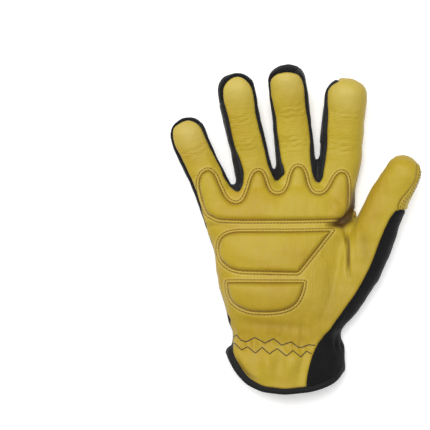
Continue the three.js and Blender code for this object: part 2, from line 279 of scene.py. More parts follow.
def limb_rings(name):
    side, rise = oval(LIMB_SIDES)
    rows = LIMBS[name]
    lift = THUMB_LIFT if name == "thumb" else FINGER_LIFT
    centres = np.column_stack([rows[:, :2], height(lift, rows[:, 1])])
    path = catmull(np.column_stack([centres, rows[:, 2:]]), ROW_STEPS)
    forward = unit(np.gradient(path[:, :3], axis=0))
    across = unit(np.cross(forward, [0, 0, 1]))
    upward = np.cross(across, forward)

    def ring(row, ahead=0.0, share=1.0):
        return (path[row, :3] + forward[row] * ahead
                + np.outer(side * path[row, 3] * share, across[row])
                + np.outer(rise * path[row, 4] * share, upward[row]))

    rings = [ring(row) for row in range(len(path))]
    for angle in np.linspace(0, math.pi / 2, TIP_STEPS)[1:-1]:
        rings.append(ring(-1, TIP_LENGTH * math.sin(angle), math.cos(angle)))
    return rings


def new_object(name, data):
    thing = bpy.data.objects.new(name, data)
    bpy.context.collection.objects.link(thing)
    return thing


def new_mesh(name, points, faces, material=None):
    """Object of a smooth mesh, from places in millimetres."""
    mesh = bpy.data.meshes.new(name)
    mesh.from_pydata((points * MM).tolist(), [], faces)
    mesh.shade_smooth()
    if material:
        mesh.materials.append(material)
    return new_object(name, mesh)


def modified(thing):
    """Mesh of an object with its modifiers applied, and its places in metres."""
    done = thing.evaluated_get(bpy.context.evaluated_depsgraph_get()).to_mesh()
    points = np.empty(len(done.vertices) * 3)
    done.vertices.foreach_get("co", points)
    return done, points.reshape(-1, 3)


def hand_surface():
    """One closed surface of the whole hand: points in millimetres and triangles."""
    verts, faces = [], []
    for rings in [body_rings()] + [limb_rings(name) for name in LIMBS]:
        part_verts, part_faces = skin(rings)
        start = sum(len(v) for v in verts)
        verts.append(part_verts * GLOVE_LENGTH + SHIFT)
        faces += [tuple(i + start for i in face) for face in part_faces]
    thing = new_mesh("hand_form", np.vstack(verts), faces)
    remesh = thing.modifiers.new("remesh", "REMESH")
    remesh.mode = "VOXEL"
    remesh.voxel_size = VOXEL * MM
    done, places = modified(thing)
    done.calc_loop_triangles()
    corners = np.empty(len(done.loop_triangles) * 3, dtype=np.int64)
    done.loop_triangles.foreach_get("vertices", corners)
    bpy.data.objects.remove(thing)
    return places / MM, corners.reshape(-1, 3)


def edges_of(tris, count):
    """Unique edges, and for each triangle the numbers of its three edges."""
    pairs = np.sort(np.concatenate([tris[:, [0, 1]], tris[:, [1, 2]], tris[:, [2, 0]]]), axis=1)
    keys, inverse = np.unique(pairs[:, 0] * count + pairs[:, 1], return_inverse=True)
    return np.stack([keys // count, keys % count], 1), inverse.reshape(3, -1).T


def relax(points, tris, rounds, amount=0.5):
    """Evens out a surface by moving each point towards the mean of its neighbours."""
    edges, _ = edges_of(tris, len(points))
    degree = np.maximum(np.bincount(edges.ravel(), minlength=len(points)), 1)[:, None]
    for _ in range(rounds):
        total = np.zeros_like(points)
        for axis in range(points.shape[1]):
            total[:, axis] = (np.bincount(edges[:, 0], points[edges[:, 1], axis], len(points))
                              + np.bincount(edges[:, 1], points[edges[:, 0], axis], len(points)))
        points = points + amount * (total / degree - points)
    return points


def normals_of(points, tris):
    a, b, c = (points[tris[:, i]] for i in range(3))
    face = np.cross(b - a, c - a)
    normals = np.zeros_like(points)
    for i in range(3):
        for axis in range(3):
            normals[:, axis] += np.bincount(tris[:, i], face[:, axis], len(points))
    return unit(normals, 1e-12)


def split(points, tris, edges, tri_edges, marked, share):
    """Splits the marked edges at a share of their length, and the triangles with them."""
    fresh = np.full(len(edges), -1)
    fresh[marked] = len(points) + np.arange(marked.sum())
    pair = edges[marked]
    added = points[pair[:, 0]] * (1 - share[:, None]) + points[pair[:, 1]] * share[:, None]
    middle = fresh[tri_edges]
    hits = (middle >= 0).sum(1)
    out = [tris[hits == 0]]
    for turn in range(3):
        one, two, three = turn, (turn + 1) % 3, (turn + 2) % 3
        pick = (hits == 1) & (middle[:, one] >= 0)
        a, b, c, m = tris[pick, one], tris[pick, two], tris[pick, three], middle[pick, one]
        out += [np.stack([a, m, c], 1), np.stack([m, b, c], 1)]
        pick = (hits == 2) & (middle[:, one] < 0)
        a, b, c = tris[pick, one], tris[pick, two], tris[pick, three]
        m, n = middle[pick, two], middle[pick, three]
        out += [np.stack([m, c, n], 1), np.stack([a, b, m], 1), np.stack([a, m, n], 1)]
    pick = hits == 3
    a, b, c = tris[pick].T
    ab, bc, ca = middle[pick].T
    out += [np.stack(s, 1) for s in ((a, ab, ca), (ab, b, bc), (ca, bc, c), (ab, bc, ca))]
    return np.vstack([points, added]), np.vstack(out)


def refine(points, tris, wanted, longest):
    """Halves the long edges whose two ends are both in the wanted place."""
    edges, tri_edges = edges_of(tris, len(points))
    length = np.linalg.norm(points[edges[:, 0]] - points[edges[:, 1]], axis=1)
    marked = wanted[edges[:, 0]] & wanted[edges[:, 1]] & (length > longest)
    return split(points, tris, edges, tri_edges, marked, np.full(marked.sum(), 0.5))


def cut(points, tris, field):
    """Cuts the surface along the line where a field changes sign."""
    value = field(points)
    edges, _ = edges_of(tris, len(points))
    low, high = value[edges[:, 0]], value[edges[:, 1]]
    cross = low * high < 0
    share = low[cross] / (low[cross] - high[cross])
    pair = edges[cross]
    for end, near in ((0, share < SNAP), (1, share > 1 - SNAP)):
        target = points[pair[:, 0]] * (1 - share[:, None]) + points[pair[:, 1]] * share[:, None]
        movers = pair[near, end]
        points[movers] = target[near]
        value[movers] = 0
    value[np.abs(value) < 1e-9] = 0
    edges, tri_edges = edges_of(tris, len(points))
    low, high = value[edges[:, 0]], value[edges[:, 1]]
    marked = low * high < 0
    share = low[marked] / (low[marked] - high[marked])
    return split(points, tris, edges, tri_edges, marked, share)


def plan(places):
    """Places in plan given as shares of the glove's length, in millimetres."""
    return np.array(places, float) * GLOVE_LENGTH + SHIFT[:2]


def rounded(outline, rounds=2):
    """Outline with its corners cut off again and again, in millimetres."""
    points = plan(outline)
    for _ in range(rounds):
        after = np.roll(points, -1, axis=0)
        pairs = [points * 0.75 + after * 0.25, points * 0.25 + after * 0.75]
        points = np.stack(pairs, 1).reshape(-1, 2)
    return points


def polyline_distance(points, line, closed=False):
    """Distance in plan from each point to a line of points."""
    ends = np.roll(line, -1, axis=0) if closed else line[1:]
    starts = line if closed else line[:-1]
    best = np.full(len(points), 1e9)
    for a, b in zip(starts, ends):
        run = b - a
        share = np.clip(((points[:, :2] - a) @ run) / max(run @ run, 1e-9), 0, 1)
        gap = points[:, :2] - a - share[:, None] * run
        best = np.minimum(best, (gap ** 2).sum(1))
    return np.sqrt(best)


def close_to(points, line):
    """Which points lie in plan in the box round a line, or within NEAR of that box."""
    place = points[:, :2]
    return ((place > line.min(0) - NEAR) & (place < line.max(0) + NEAR)).all(1)


def inside_distance(points, outline):
    """Distance in plan to an outline, positive inside it; well outside it is a flat -NEAR."""
    near = close_to(points, outline)
    value = np.full(len(points), -NEAR)
    value[near] = exact_distance(points[near], outline)
    return value


def exact_distance(points, outline):
    inside = np.zeros(len(points), bool)
    x, y = points[:, 0], points[:, 1]
    for a, b in zip(outline, np.roll(outline, -1, axis=0)):
        if a[1] == b[1]:
            continue
        crosses = (a[1] > y) != (b[1] > y)
        inside ^= crosses & (x < (b[0] - a[0]) * (y - a[1]) / (b[1] - a[1]) + a[0])
    return np.where(inside, 1, -1) * polyline_distance(points, outline, closed=True)


def shares_y(points):
    return (points[:, 1] - SHIFT[1]) / GLOVE_LENGTH


# Half width of a web between two fingers, and a line past all finger tips
WEB_HALF = 0.006
HIGH = 1.100


def axis_line(name):
    return LIMBS[name][1:, :2].tolist()


def zone_between(left, right, across, along):
    """Outline between the middle lines of two fingers, from their web upwards."""
    return plan([[across - WEB_HALF, along], [across + WEB_HALF, along], *right, *left[::-1]])


INDEX_LINE = [*axis_line("index")[:-1], [0.166, 0.940], [0.166, HIGH]]
STRIP_ZONES = {
    "fourchette_ring_pinky": zone_between(axis_line("pinky"), axis_line("ring"), -0.137, 0.600),
    "fourchette_middle_ring": zone_between(axis_line("ring"), axis_line("middle"), -0.020, 0.628),
    "fourchette_index_middle": zone_between(axis_line("middle"), INDEX_LINE, 0.106, 0.628),
}
# Line from the web of the thumb upwards, which parts the thumb from the index finger
WEB_LINE = shares([[216, 544], [290, 900]])
INDEX_OUTER = plan([[0.158, 0.500], [0.216, 0.500], *WEB_LINE, [0.290, HIGH], *INDEX_LINE[::-1]])
THUMB_ZONE = plan([*WEB_LINE, [0.700, 0.900], [0.700, 0.250], [0.216, 0.250]])
DARK_SIDE = rounded(shares([
    [600, 549], [372, 551], [348, 554], [341.5, 556], [339.5, 556.5], [337.5, 555], [328, 543],
    [318, 528], [305, 500], [288, 458], [270, 407], [246, 355], [226, 316], [200, 280], [143, 197],
    [101, 149], [79, 94], [68, 27], [64, -100], [600, -100],
]))
THUMB_SHIELD = rounded(shares([
    [219, 422], [262, 452], [296, 502], [318, 546], [336, 559], [352, 557], [600, 564], [600, 900],
    [290, 900], [205, 544],
]))
# The outer edge of the thumb, which the palm leather leaves free
THUMB_EDGE = rounded(shares([
    [392, 735], [402, 700], [400, 671], [394, 643], [382, 625], [361, 598], [349, 583], [342, 560],
    [360, 540], [600, 540], [600, 735],
]))
# Edges of the finger leather as seen from above, each from the web to the tip
LEATHER_EDGES = {
    "pinky_outer": shares([
        [-241, 528], [-249, 558], [-256, 589], [-267, 619], [-279, 650], [-294, 680], [-308, 710],
        [-323, 740], [-334, 771], [-336, 798], [-332, 810], [-320, 820], [-302, 830], [-284, 833],
        [-272, 833],
    ]),
    "pinky_inner": shares([
        [-149, 620], [-164, 639], [-178, 657], [-185, 680], [-200, 710], [-216, 740], [-231, 771],
        [-243, 801], [-252, 816], [-266, 827], [-284, 833], [-297, 833],
    ]),
    "ring_outer": shares([
        [-128, 625], [-122, 645], [-121, 676], [-134, 715], [-145, 738], [-153, 771], [-164, 819],
        [-173, 856], [-184, 897], [-184, 922], [-176, 940], [-161, 954], [-149, 960], [-138, 962],
        [-126, 962],
    ]),
    "ring_inner": shares([
        [-30, 662], [-41, 686], [-49, 722], [-62, 771], [-75, 819], [-81, 856], [-89, 904], [-94, 927],
        [-102, 941], [-115, 953], [-127, 960], [-138, 962], [-150, 962],
    ]),
    "middle_outer": shares([
        [-6, 659], [4, 668], [1, 686], [-9, 710], [-14, 746], [-18, 783], [-24, 832], [-33, 880],
        [-41, 916], [-43, 941], [-39, 955], [-27, 965], [-12, 971], [9, 973], [22, 973],
    ]),
    "middle_inner": shares([
        [91, 668], [87, 698], [84, 734], [83, 783], [77, 832], [68, 880], [62, 929], [58, 950], [47, 964],
        [30, 971], [9, 973], [-4, 973],
    ]),
    "index_outer": shares([
        [119, 655], [123, 680], [126, 710], [131, 746], [132, 790], [133, 830], [131, 900], [132, 918],
        [136, 932], [143, 943], [153, 951], [166, 958],
    ]),
}


def dark_gap(web, left, right):
    """What shows dark between two fingers and over the facing halves of their tips."""
    left, right = LEATHER_EDGES[left], LEATHER_EDGES[right]
    return rounded([web, *left, [left[-1][0], HIGH], [right[-1][0], HIGH], *right[::-1]], 1)


BESIDE_PINKY = [[-0.272, HIGH], [-0.500, HIGH], [-0.500, 0.510], [-0.245, 0.515]]
DARK_GAPS = [
    rounded([*LEATHER_EDGES["pinky_outer"], *BESIDE_PINKY], 1),
    dark_gap([-0.136, 0.614], "pinky_inner", "ring_outer"),
    dark_gap([-0.020, 0.646], "ring_inner", "middle_outer"),
    dark_gap([0.107, 0.640], "middle_inner", "index_outer"),
]
INDEX_SHIELD = rounded([
    [0.106, 0.560], [0.150, 0.535], [0.185, 0.500], [0.212, 0.452], [0.216, 0.544],
    [0.290, HIGH], [0.100, HIGH],
])
SHIELDS = {"thumb_shield": THUMB_SHIELD, "index_shield": INDEX_SHIELD}
# The curved double seam over the back of the thumb
THUMB_BACK_SEAM = catmull(plan(shares([
    [300, 742], [326, 722], [347, 692], [352, 655], [338, 615], [305, 575], [266, 538], [232, 492],
    [205, 450],
])), 6)
# Edge of the cuff's mouth, from side to side; the binding lies along it
HEM_ROWS = plan(shares([
    [-500, 158], [-179, 146], [-170, 102], [-152, 68], [-116, 28], [-67, 4], [3, -4], [82, 4], [115, 13],
    [152, 28], [175, 45], [193, 82], [500, 98],
]))
HEM_LEAN = 0.03


def smoothed(rows, width, step=0.5):
    """A line of heights over x, with its corners rounded over a width."""
    x = np.arange(rows[0, 0], rows[-1, 0], step)
    count = int(width / step)
    window = np.hanning(count)
    padded = np.interp(np.arange(x[0] - width, x[-1] + width, step), rows[:, 0], rows[:, 1])
    y = np.convolve(padded, window / window.sum(), mode="same")
    return np.column_stack([x, y[count:count + len(x)]])


HEM = smoothed(HEM_ROWS, 16.0)
# Between these places across, the binding gets wider outwards, and flatter towards the thumb
OUTER_HEM = plan([[-0.170, 0], [-0.060, 0]])[:, 0]
THUMB_HEM = plan([[0.120, 0], [0.165, 0]])[:, 0]
PATCH_CENTRE = plan([[0.150, 0.695]])[0]
PATCH_RADIUS = 0.074 * GLOVE_LENGTH
# Heights of seams: body and thumb over the floor, the others over the middle of the fingers
BODY_SEAM = 0.066
STRIP_HALF = 0.025
LEATHER_RISE = 0.008
LOW_SEAM = -0.012
THUMB_SEAM = shares([
    [-1000, 54], [200, 58], [320, 66], [440, 64], [500, 60], [535, 72], [560, 98], [650, 118], [750, 146],
])

PADS = {
    "pad_knuckle": rounded(shares([
        [-212, 527], [-240, 543], [-258, 600], [-266, 640], [-254, 676], [-226, 690], [-202, 674],
        [-184, 632], [-166, 594], [-140, 583], [-120, 600], [-100, 674], [-73, 688], [-52, 674],
        [-37, 622], [-18, 611], [6, 622], [20, 686], [46, 702], [72, 686], [86, 622], [108, 611],
        [130, 622], [154, 672], [180, 684], [204, 668], [207, 620], [205, 560], [190, 528], [160, 520],
        [-9, 518], [-185, 518],
    ])),
    "pad_palm": rounded(shares([
        [-160, 500], [-100, 501], [40, 501], [130, 503], [160, 502], [145, 482], [60, 375], [46, 361],
        [20, 362], [-80, 364], [-150, 366], [-192, 394], [-208, 437], [-196, 480],
    ])),
    "pad_heel": rounded(shares([
        [-178, 344], [-165, 348], [-60, 348], [50, 348], [70, 347], [69, 330], [60, 296], [38, 262],
        [-9, 243], [-85, 241], [-118, 248], [-155, 268], [-174, 300],
    ])),
}


def seam_above(points, table, offset=0.0):
    """How far points lie over a line of heights, in millimetres."""
    return points[:, 2] - GLOVE_LENGTH * (height(table, shares_y(points)) + offset)


def body_then(table, offset):
    return np.vstack([[-1, BODY_SEAM], [0.50, BODY_SEAM], table[2:] + [0, offset]])


def front_field(points):
    """Positive on the leather of the palm side."""
    in_thumb = inside_distance(points, THUMB_ZONE)
    wrist_sliver = 5.0 * bell(shares_y(points) - 0.228, 0.018) * (points[:, 0] < 0)
    fingers = seam_above(points, body_then(FINGER_LIFT, LEATHER_RISE)) - wrist_sliver
    value = np.minimum(fingers, -in_thumb)
    value = np.maximum(value, np.minimum(seam_above(points, THUMB_SEAM), in_thumb))
    low_seam = seam_above(points, FINGER_LIFT, LOW_SEAM)
    value = np.maximum(value, np.minimum(low_seam, inside_distance(points, INDEX_OUTER)))
    for outline in (DARK_SIDE, THUMB_EDGE, *DARK_GAPS):
        value = np.minimum(value, -inside_distance(points, outline))
    return value


def strip_field(zone):
    table = body_then(FINGER_LIFT, -STRIP_HALF)
    return lambda points: np.minimum(seam_above(points, table), inside_distance(points, zone))


def patch_field(points):
    gap = points[:, :2] - PATCH_CENTRE
    squeeze = np.where(gap[:, 0] < 0, 1.4, 1.0)
    return PATCH_RADIUS - np.hypot(gap[:, 0] / squeeze, gap[:, 1])


def hem_field(offset):
    def field(points):
        line = np.interp(points[:, 0], HEM[:, 0], HEM[:, 1])
        slope = np.gradient(HEM[:, 1], HEM[:, 0])
        tilt = np.interp(points[:, 0], HEM[:, 0], slope)
        rise = points[:, 1] - line - HEM_LEAN * points[:, 2]
        outer_side = 1 - ease(points[:, 0], *OUTER_HEM)
        return rise / np.hypot(1, np.clip(tilt, -4, 4)) - offset * (1 + 0.5 * outer_side)
    return field


# The waisted leather patches of the finger backs: share along, share of the half width
WAISTED_SIDE = np.array([
    [0.000, 0.20], [0.010, 0.60], [0.050, 0.92], [0.110, 1.00], [0.280, 1.02], [0.430, 0.96],
    [0.480, 0.62], [0.505, 0.55], [0.530, 0.64], [0.580, 0.98], [0.700, 1.02], [0.880, 0.88],
    [0.960, 0.62], [0.990, 0.36], [1.000, 0.10],
])
FINGER_PADS = {
    "finger_pad_middle": {"from": (0.045, 0.640), "to": (0.011, 0.974), "half": 0.042, "holes": 3},
    "finger_pad_ring": {"from": (-0.083, 0.640), "to": (-0.146, 0.938), "half": 0.036, "holes": 2},
    "finger_pad_pinky": {"from": (-0.210, 0.600), "to": (-0.287, 0.802), "half": 0.032, "holes": 2},
}
# The two stretches of a patch, as shares of its length, that have holes
PAD_LOBES = [(0.10, 0.42), (0.60, 0.90)]


def pad_axis(pad):
    start, end = plan([pad["from"], pad["to"]])
    run = end - start
    side = np.array([run[1], -run[0]]) / np.linalg.norm(run)
    return start, run, side


def finger_pad_outline(pad):
    start, run, side = pad_axis(pad)
    middle = start + np.outer(WAISTED_SIDE[:, 0], run)
    beside = np.outer(WAISTED_SIDE[:, 1] * pad["half"] * GLOVE_LENGTH, side)
    return np.vstack([middle + beside, (middle - beside)[::-1]])


def ragged(points, reach, pitch):
    """Small uneven steps along a raw leather edge."""
    wave = (np.sin(points[:, 0] * 6.3 / pitch) + np.sin(points[:, 1] * 6.3 / pitch + 1.3)
            + np.sin((points[:, 0] + points[:, 1]) * 9.7 / pitch))
    return reach * wave / 3


def lumps(points, size, seed):
    """Smooth uneven field of about one, from waves in random directions."""
    waves = np.random.default_rng(seed)
    total = np.zeros(len(points))
    count = 9
    for _ in range(count):
        direction = waves.normal(size=3)
        direction *= 2 * math.pi / size / np.linalg.norm(direction) * waves.uniform(0.6, 1.4)
        total += np.sin(points @ direction + waves.uniform(0, 6.28))
    return total / math.sqrt(count)


def bell(gap, width):
    return np.exp(-(gap / width) ** 2)


def ease(value, low, high):
    share = np.clip((value - low) / (high - low), 0, 1)
    return share * share * (3 - 2 * share)


# Folds across the fingers on the palm side: place along the glove as a share, depth and bow in mm
FINGER_FOLDS = {
    "ring": [[0.838, 0.26, 1.5], [0.826, 0.30, 1.2], [0.812, 0.16, 1.0], [0.768, 0.24, 0.8],
             [0.755, 0.34, 0.6], [0.742, 0.20, 0.5]],
    "middle": [[0.866, 0.20, 1.6], [0.853, 0.34, 1.2], [0.838, 0.22, 1.2], [0.778, 0.26, 0.8],
               [0.765, 0.36, 0.6], [0.750, 0.22, 0.4]],
    "index": [[0.848, 0.30, 1.4], [0.836, 0.20, 1.0], [0.770, 0.22, 0.8], [0.752, 0.32, 0.6],
              [0.738, 0.36, 0.4]],
    "pinky": [[0.742, 0.26, 1.4], [0.728, 0.20, 1.0], [0.672, 0.22, 0.6]],
}

# Creases of the palm leather; each row: place across, place along, depth, half width in millimetres
PALM_CREASES = {
    "web": np.array([
        [0.219, 0.606, 1.0, 2.2], [0.217, 0.578, 2.4, 3.0], [0.211, 0.553, 3.8, 4.0],
        [0.197, 0.535, 4.8, 4.4], [0.178, 0.522, 4.9, 4.0], [0.157, 0.515, 3.4, 2.8],
        [0.124, 0.512, 0.0, 2.0],
    ]),
    "thumb_root": np.array([
        [0.183, 0.514, 1.2, 2.4], [0.190, 0.487, 1.9, 1.7], [0.194, 0.460, 3.0, 1.2],
        [0.194, 0.432, 3.6, 1.2], [0.194, 0.405, 3.0, 1.3], [0.195, 0.375, 1.2, 1.6],
        [0.198, 0.345, 0.0, 2.2],
    ]),
    "thumb_base": np.array([
        [0.232, 0.530, 0.0, 4.5], [0.236, 0.495, 0.8, 4.5], [0.241, 0.460, 0.9, 4.5],
        [0.250, 0.410, 0.5, 4.5], [0.255, 0.370, 0.0, 4.5],
    ]),
    "ball": np.array([
        [0.120, 0.395, 0.0, 4.5], [0.143, 0.330, 0.4, 4.5], [0.140, 0.260, 0.4, 5.0],
        [0.118, 0.205, 0.0, 5.0],
    ]),
    "heel": np.array([
        [-0.150, 0.232, 0.0, 3.5], [-0.080, 0.216, 0.6, 3.5], [0.010, 0.210, 0.6, 3.5],
        [0.100, 0.196, 0.0, 3.5],
    ]),
    "side": np.array([
        [-0.240, 0.512, 0.9, 1.8], [-0.200, 0.514, 0.6, 1.8], [-0.160, 0.512, 0.0, 1.8],
    ]),
}

# Upright folds of the cuff below the elastic: place across, height in millimetres, half width, lean
CUFF_FOLDS = np.array([
    [-0.140, -0.6, 3.0, 0.15], [-0.112, 0.7, 5.0, 0.10], [-0.082, -0.9, 5.0, 0.05],
    [-0.046, 2.4, 5.6, 0.00], [-0.010, -1.8, 4.6, -0.10], [0.030, 2.4, 4.8, -0.24],
    [0.062, -1.2, 3.2, -0.20], [0.082, 0.5, 3.6, -0.10],
    [0.110, 0.7, 4.0, 0.00], [0.135, -0.8, 3.0, 0.05], [0.160, 0.5, 3.0, 0.10],
])


def fold_places(points):
    """For each fold, places along its finger from it and across the finger, and its row."""
    for name, folds in FINGER_FOLDS.items():
        rows = plan(LIMBS[name][:, :2])
        run = (rows[-1] - rows[1]) / np.linalg.norm(rows[-1] - rows[1])
        gap = points[:, :2] - rows[1]
        across = gap @ np.array([run[1], -run[0]])
        for place, depth, bow in folds:
            fold = (place * GLOVE_LENGTH + SHIFT[1] - rows[1][1]) / run[1]
            yield gap @ run - fold, across, place, depth, bow


FINGER_HALF = 0.055 * GLOVE_LENGTH


def finger_folds(points):
    """Ridges and dips of the folds across the fingers."""
    total = np.zeros(len(points))
    for beyond, across, place, depth, bow in fold_places(points):
        wobble = 0.5 * np.sin(across * 0.55 + place * 90)
        gap = beyond - bow * (across / FINGER_HALF) ** 2 - wobble
        fade = 1 - ease(np.abs(across), 0.62 * FINGER_HALF, FINGER_HALF)
        total += fade * depth * (0.45 * bell(np.abs(gap) - 2.4, 1.5) - bell(gap, 0.95))
    return total


def crease_depth(points, rows):
    """Depth of one crease at each point, from the nearest place on its line."""
    line = catmull(np.column_stack([plan(rows[:, :2]), rows[:, 2:]]), 6)
    near = close_to(points, line[:, :2])
    depth = np.zeros(len(points))
    depth[near] = depth_near(points[near], line)
    return depth


def depth_near(points, line):
    best = np.full(len(points), 1e9)
    depth = np.zeros(len(points))
    for one, other in zip(line[:-1], line[1:]):
        run = other[:2] - one[:2]
        share = np.clip(((points[:, :2] - one[:2]) @ run) / (run @ run), 0, 1)
        gap = np.hypot(*(points[:, :2] - one[:2] - share[:, None] * run).T)
        deep = one[2] + share * (other[2] - one[2])
        wide = one[3] + share * (other[3] - one[3])
        nearer = gap < best
        best = np.where(nearer, gap, best)
        value = np.maximum(deep, 0) * (bell(gap, wide) - 0.22 * bell(gap - 2.2 * wide, 1.4 * wide))
        depth = np.where(nearer, value, depth)
    return depth


def palm_creases(points):
    return -sum(crease_depth(points, rows) for rows in PALM_CREASES.values())


# Corners of the two zigzag seams that gather the cuff
ZIGZAGS = {
    "upper": shares([
        [-152, 170], [-141, 179], [-128, 164], [-111, 159], [-86, 173], [-55, 156], [-29, 170], [-5, 150],
        [24, 160], [45, 144], [55, 143], [77, 151], [99, 149],
    ]),
    "lower": shares([
        [-152, 153], [-144, 152], [-126, 134], [-108, 144], [-84, 126], [-64, 143], [-42, 124],
        [-19, 140], [9, 118], [29, 134], [52, 115], [70, 132], [87, 123],
    ]),
}


def cuff_gathers(points):
    """Puckers round the wrist and the softer folds that run from them to the hem."""
    y = shares_y(points)
    x = points[:, 0]
    wrist = bell(y - 0.158, 0.030)
    cuff = ease(0.150 - y, 0.0, 0.06)
    above = ease(y - 0.170, 0.0, 0.02) * ease(0.300 - y, 0.0, 0.10)
    bend = x + 4 * np.sin(x * 0.05) + (y - 0.1) * 40 * np.sin(x * 0.03)
    puckers = 0.55 * np.sin(bend * 0.62) + 0.45 * np.sin(bend * 0.37 + 1.0)
    folds = 0.12 * np.sin(bend * 0.47 + 0.4)
    for across, rise, wide, lean in CUFF_FOLDS:
        middle = across * GLOVE_LENGTH + SHIFT[0] + lean * (0.12 - y) * GLOVE_LENGTH
        folds = folds + rise * bell(x - middle, wide)
    fade = 0.2 + 0.8 * ease(y, 0.02, 0.11)
    wave = np.sin(0.95 * x + 60 * (y - 0.147) + 2 * np.sin(0.2 * x))
    rim = -1.2 * bell(y - 0.150, 0.020) + 0.7 * bell(y - 0.147, 0.015) * wave
    return 0.8 * wrist * puckers + 0.9 * cuff * folds * fade + 0.35 * above * puckers + rim


def pad_profile(depth_inside, swell):
    """Height of a stitched pad over the leather, from its outer line inwards."""
    from_row = depth_inside - STITCH_ROWS_APART
    rib = RIB_HEIGHT * bell(depth_inside - 0.5 * STITCH_ROWS_APART, RIB_HALF)
    dips = -ROW_DIPS[0] * bell(depth_inside, DIP_HALF) - ROW_DIPS[1] * bell(from_row, DIP_HALF)
    steep = np.clip(from_row / PAD_EDGE, 0, 1)
    crown = (1 - SWELL_SHARE) * (1 - (1 - steep) ** EDGE_POWER) + SWELL_SHARE * swell
    return PAD_FOOT + rib + dips + PAD_HEIGHT * crown


def rest_on_floor(points):
    """Flattens what would sink into the floor, with a soft turn into the flat place."""
    out = points.copy()
    z = out[:, 2]
    turn = (z + FLOOR_TURN) ** 2 / (4 * FLOOR_TURN)
    out[:, 2] = np.where(z > FLOOR_TURN, z, np.where(z < -FLOOR_TURN, 0, turn)) + 0.1
    return out


def pad_field(name):
    return lambda points: np.minimum(inside_distance(points, PADS[name]), front_field(points))


def on_back(field):
    return lambda points: np.minimum(field(points), -front_field(points))


def outline_field(outline):
    return lambda points: inside_distance(points, outline)


def shield_field(name):
    return on_back(outline_field(SHIELDS[name]))


def lower_half(points):
    return -seam_above(points, FINGER_LIFT, LOW_SEAM)


def finger_pad_field(name):
    outline = finger_pad_outline(FINGER_PADS[name])

    def field(points):
        inside = inside_distance(points, outline) + ragged(points, 0.45, 2.6)
        return np.minimum(inside, lower_half(points))
    return field


def pad_holes():
    """Middles of the small holes in the leather patches of the finger backs."""
    places = []
    for pad in FINGER_PADS.values():
        start, run, _ = pad_axis(pad)
        for low, high in PAD_LOBES:
            for share in low + (high - low) * (np.arange(pad["holes"]) + 0.5) / pad["holes"]:
                places.append(start + run * share)
    return np.array(places)


def hole_field(points):
    gap = np.full(len(points), NEAR)
    for place in pad_holes():
        gap = np.minimum(gap, np.hypot(*(points[:, :2] - place).T))
    return np.minimum(HOLE_RADIUS - gap, lower_half(points))


def build_surface():
    """The fine surface of the glove, cut along the lines of all its pieces."""
    points, tris = hand_surface()
    points = relax(points, tris, EVEN_ROUNDS)
    valley = 1 - ease(polyline_distance(points, plan(THUMB_VALLEY)), 0.4 * VALLEY_WIDTH, VALLEY_WIDTH)
    points = rest_on_floor(relax(points, tris, VALLEY_ROUNDS, 0.5 * valley[:, None]))
    for longest in PAD_EDGES:
        edges = [np.abs(pad_field(name)(points) - 1.5) < 4 for name in PADS]
        edges += [polyline_distance(points, plan(PALM_CREASES[name][:, :2])) < 5
                  for name in ("web", "thumb_root")]
        points, tris = refine(points, tris, highest(edges), longest)
    seams = [front_field, hem_field(BINDING_WIDTH), *map(shield_field, SHIELDS)]
    points, tris = refine(points, tris, highest(np.abs(field(points)) < 2.6 for field in seams), SEAM_EDGE)
    for longest in HOLE_EDGES:
        points, tris = refine(points, tris, hole_field(points) > -1.2, longest)
    fields = [
        hem_field(0), hem_field(BINDING_WIDTH), front_field, *map(strip_field, STRIP_ZONES.values()),
        *map(shield_field, SHIELDS), on_back(patch_field), *map(pad_field, PADS),
        *map(finger_pad_field, FINGER_PADS), hole_field,
    ]
    for field in fields:
        points, tris = cut(points, tris, field)
    return points, tris


PIECES = ["none", "palm_leather", "back_fabric", *STRIP_ZONES, "thumb_shield", "index_shield",
          "index_patch", "cuff_binding"]


def label(points, tris):
    """The piece that each triangle belongs to, as a place in PIECES."""
    centres = points[tris].mean(1)
    in_index_shield = inside_distance(centres, INDEX_SHIELD)
    layers = {
        "index_shield": in_index_shield,
        "index_patch": np.minimum(in_index_shield, patch_field(centres)),
        "thumb_shield": inside_distance(centres, THUMB_SHIELD),
        **{name: strip_field(zone)(centres) for name, zone in STRIP_ZONES.items()},
        "palm_leather": front_field(centres),
        "cuff_binding": -hem_field(BINDING_WIDTH)(centres),
        "none": -hem_field(0)(centres),
    }
    label_of = np.full(len(tris), PIECES.index("back_fabric"))
    for name, value in layers.items():
        label_of[value > 0] = PIECES.index(name)
    return label_of


LEATHER_NUMBERS = [PIECES.index(name) for name in ("palm_leather", "thumb_shield", "index_shield")]


def seam_points(points, tris, label_of, without):
    """Places along the seams: those of the leathers, and those between the black cloths."""
    keep = ~np.isin(label_of, without)
    edges, tri_edges = edges_of(tris[keep], len(points))
    low = np.full(len(edges), len(PIECES))
    high = np.full(len(edges), -1)
    for side in range(3):
        np.minimum.at(low, tri_edges[:, side], label_of[keep])
        np.maximum.at(high, tri_edges[:, side], label_of[keep])
    leathers = np.isin(low, LEATHER_NUMBERS) | np.isin(high, LEATHER_NUMBERS)
    seams = []
    for chosen in ((high > low) & leathers, (high > low) & ~leathers):
        ends = points[edges[chosen]]
        seams.append(np.vstack([ends[:, 0], ends.mean(1), ends[:, 1]]))
    return seams


def distance_to(points, targets):
    tree = KDTree(len(targets))
    for number, place in enumerate(targets):
        tree.insert(Vector(place), number)
    tree.balance()
    return np.array([tree.find(Vector(place))[2] for place in points])


def mesh_object(name, points, faces, material):
    thing = new_mesh(name, points, faces.tolist(), material)
    thing.data.set_sharp_from_angle(angle=math.radians(50))
    return thing


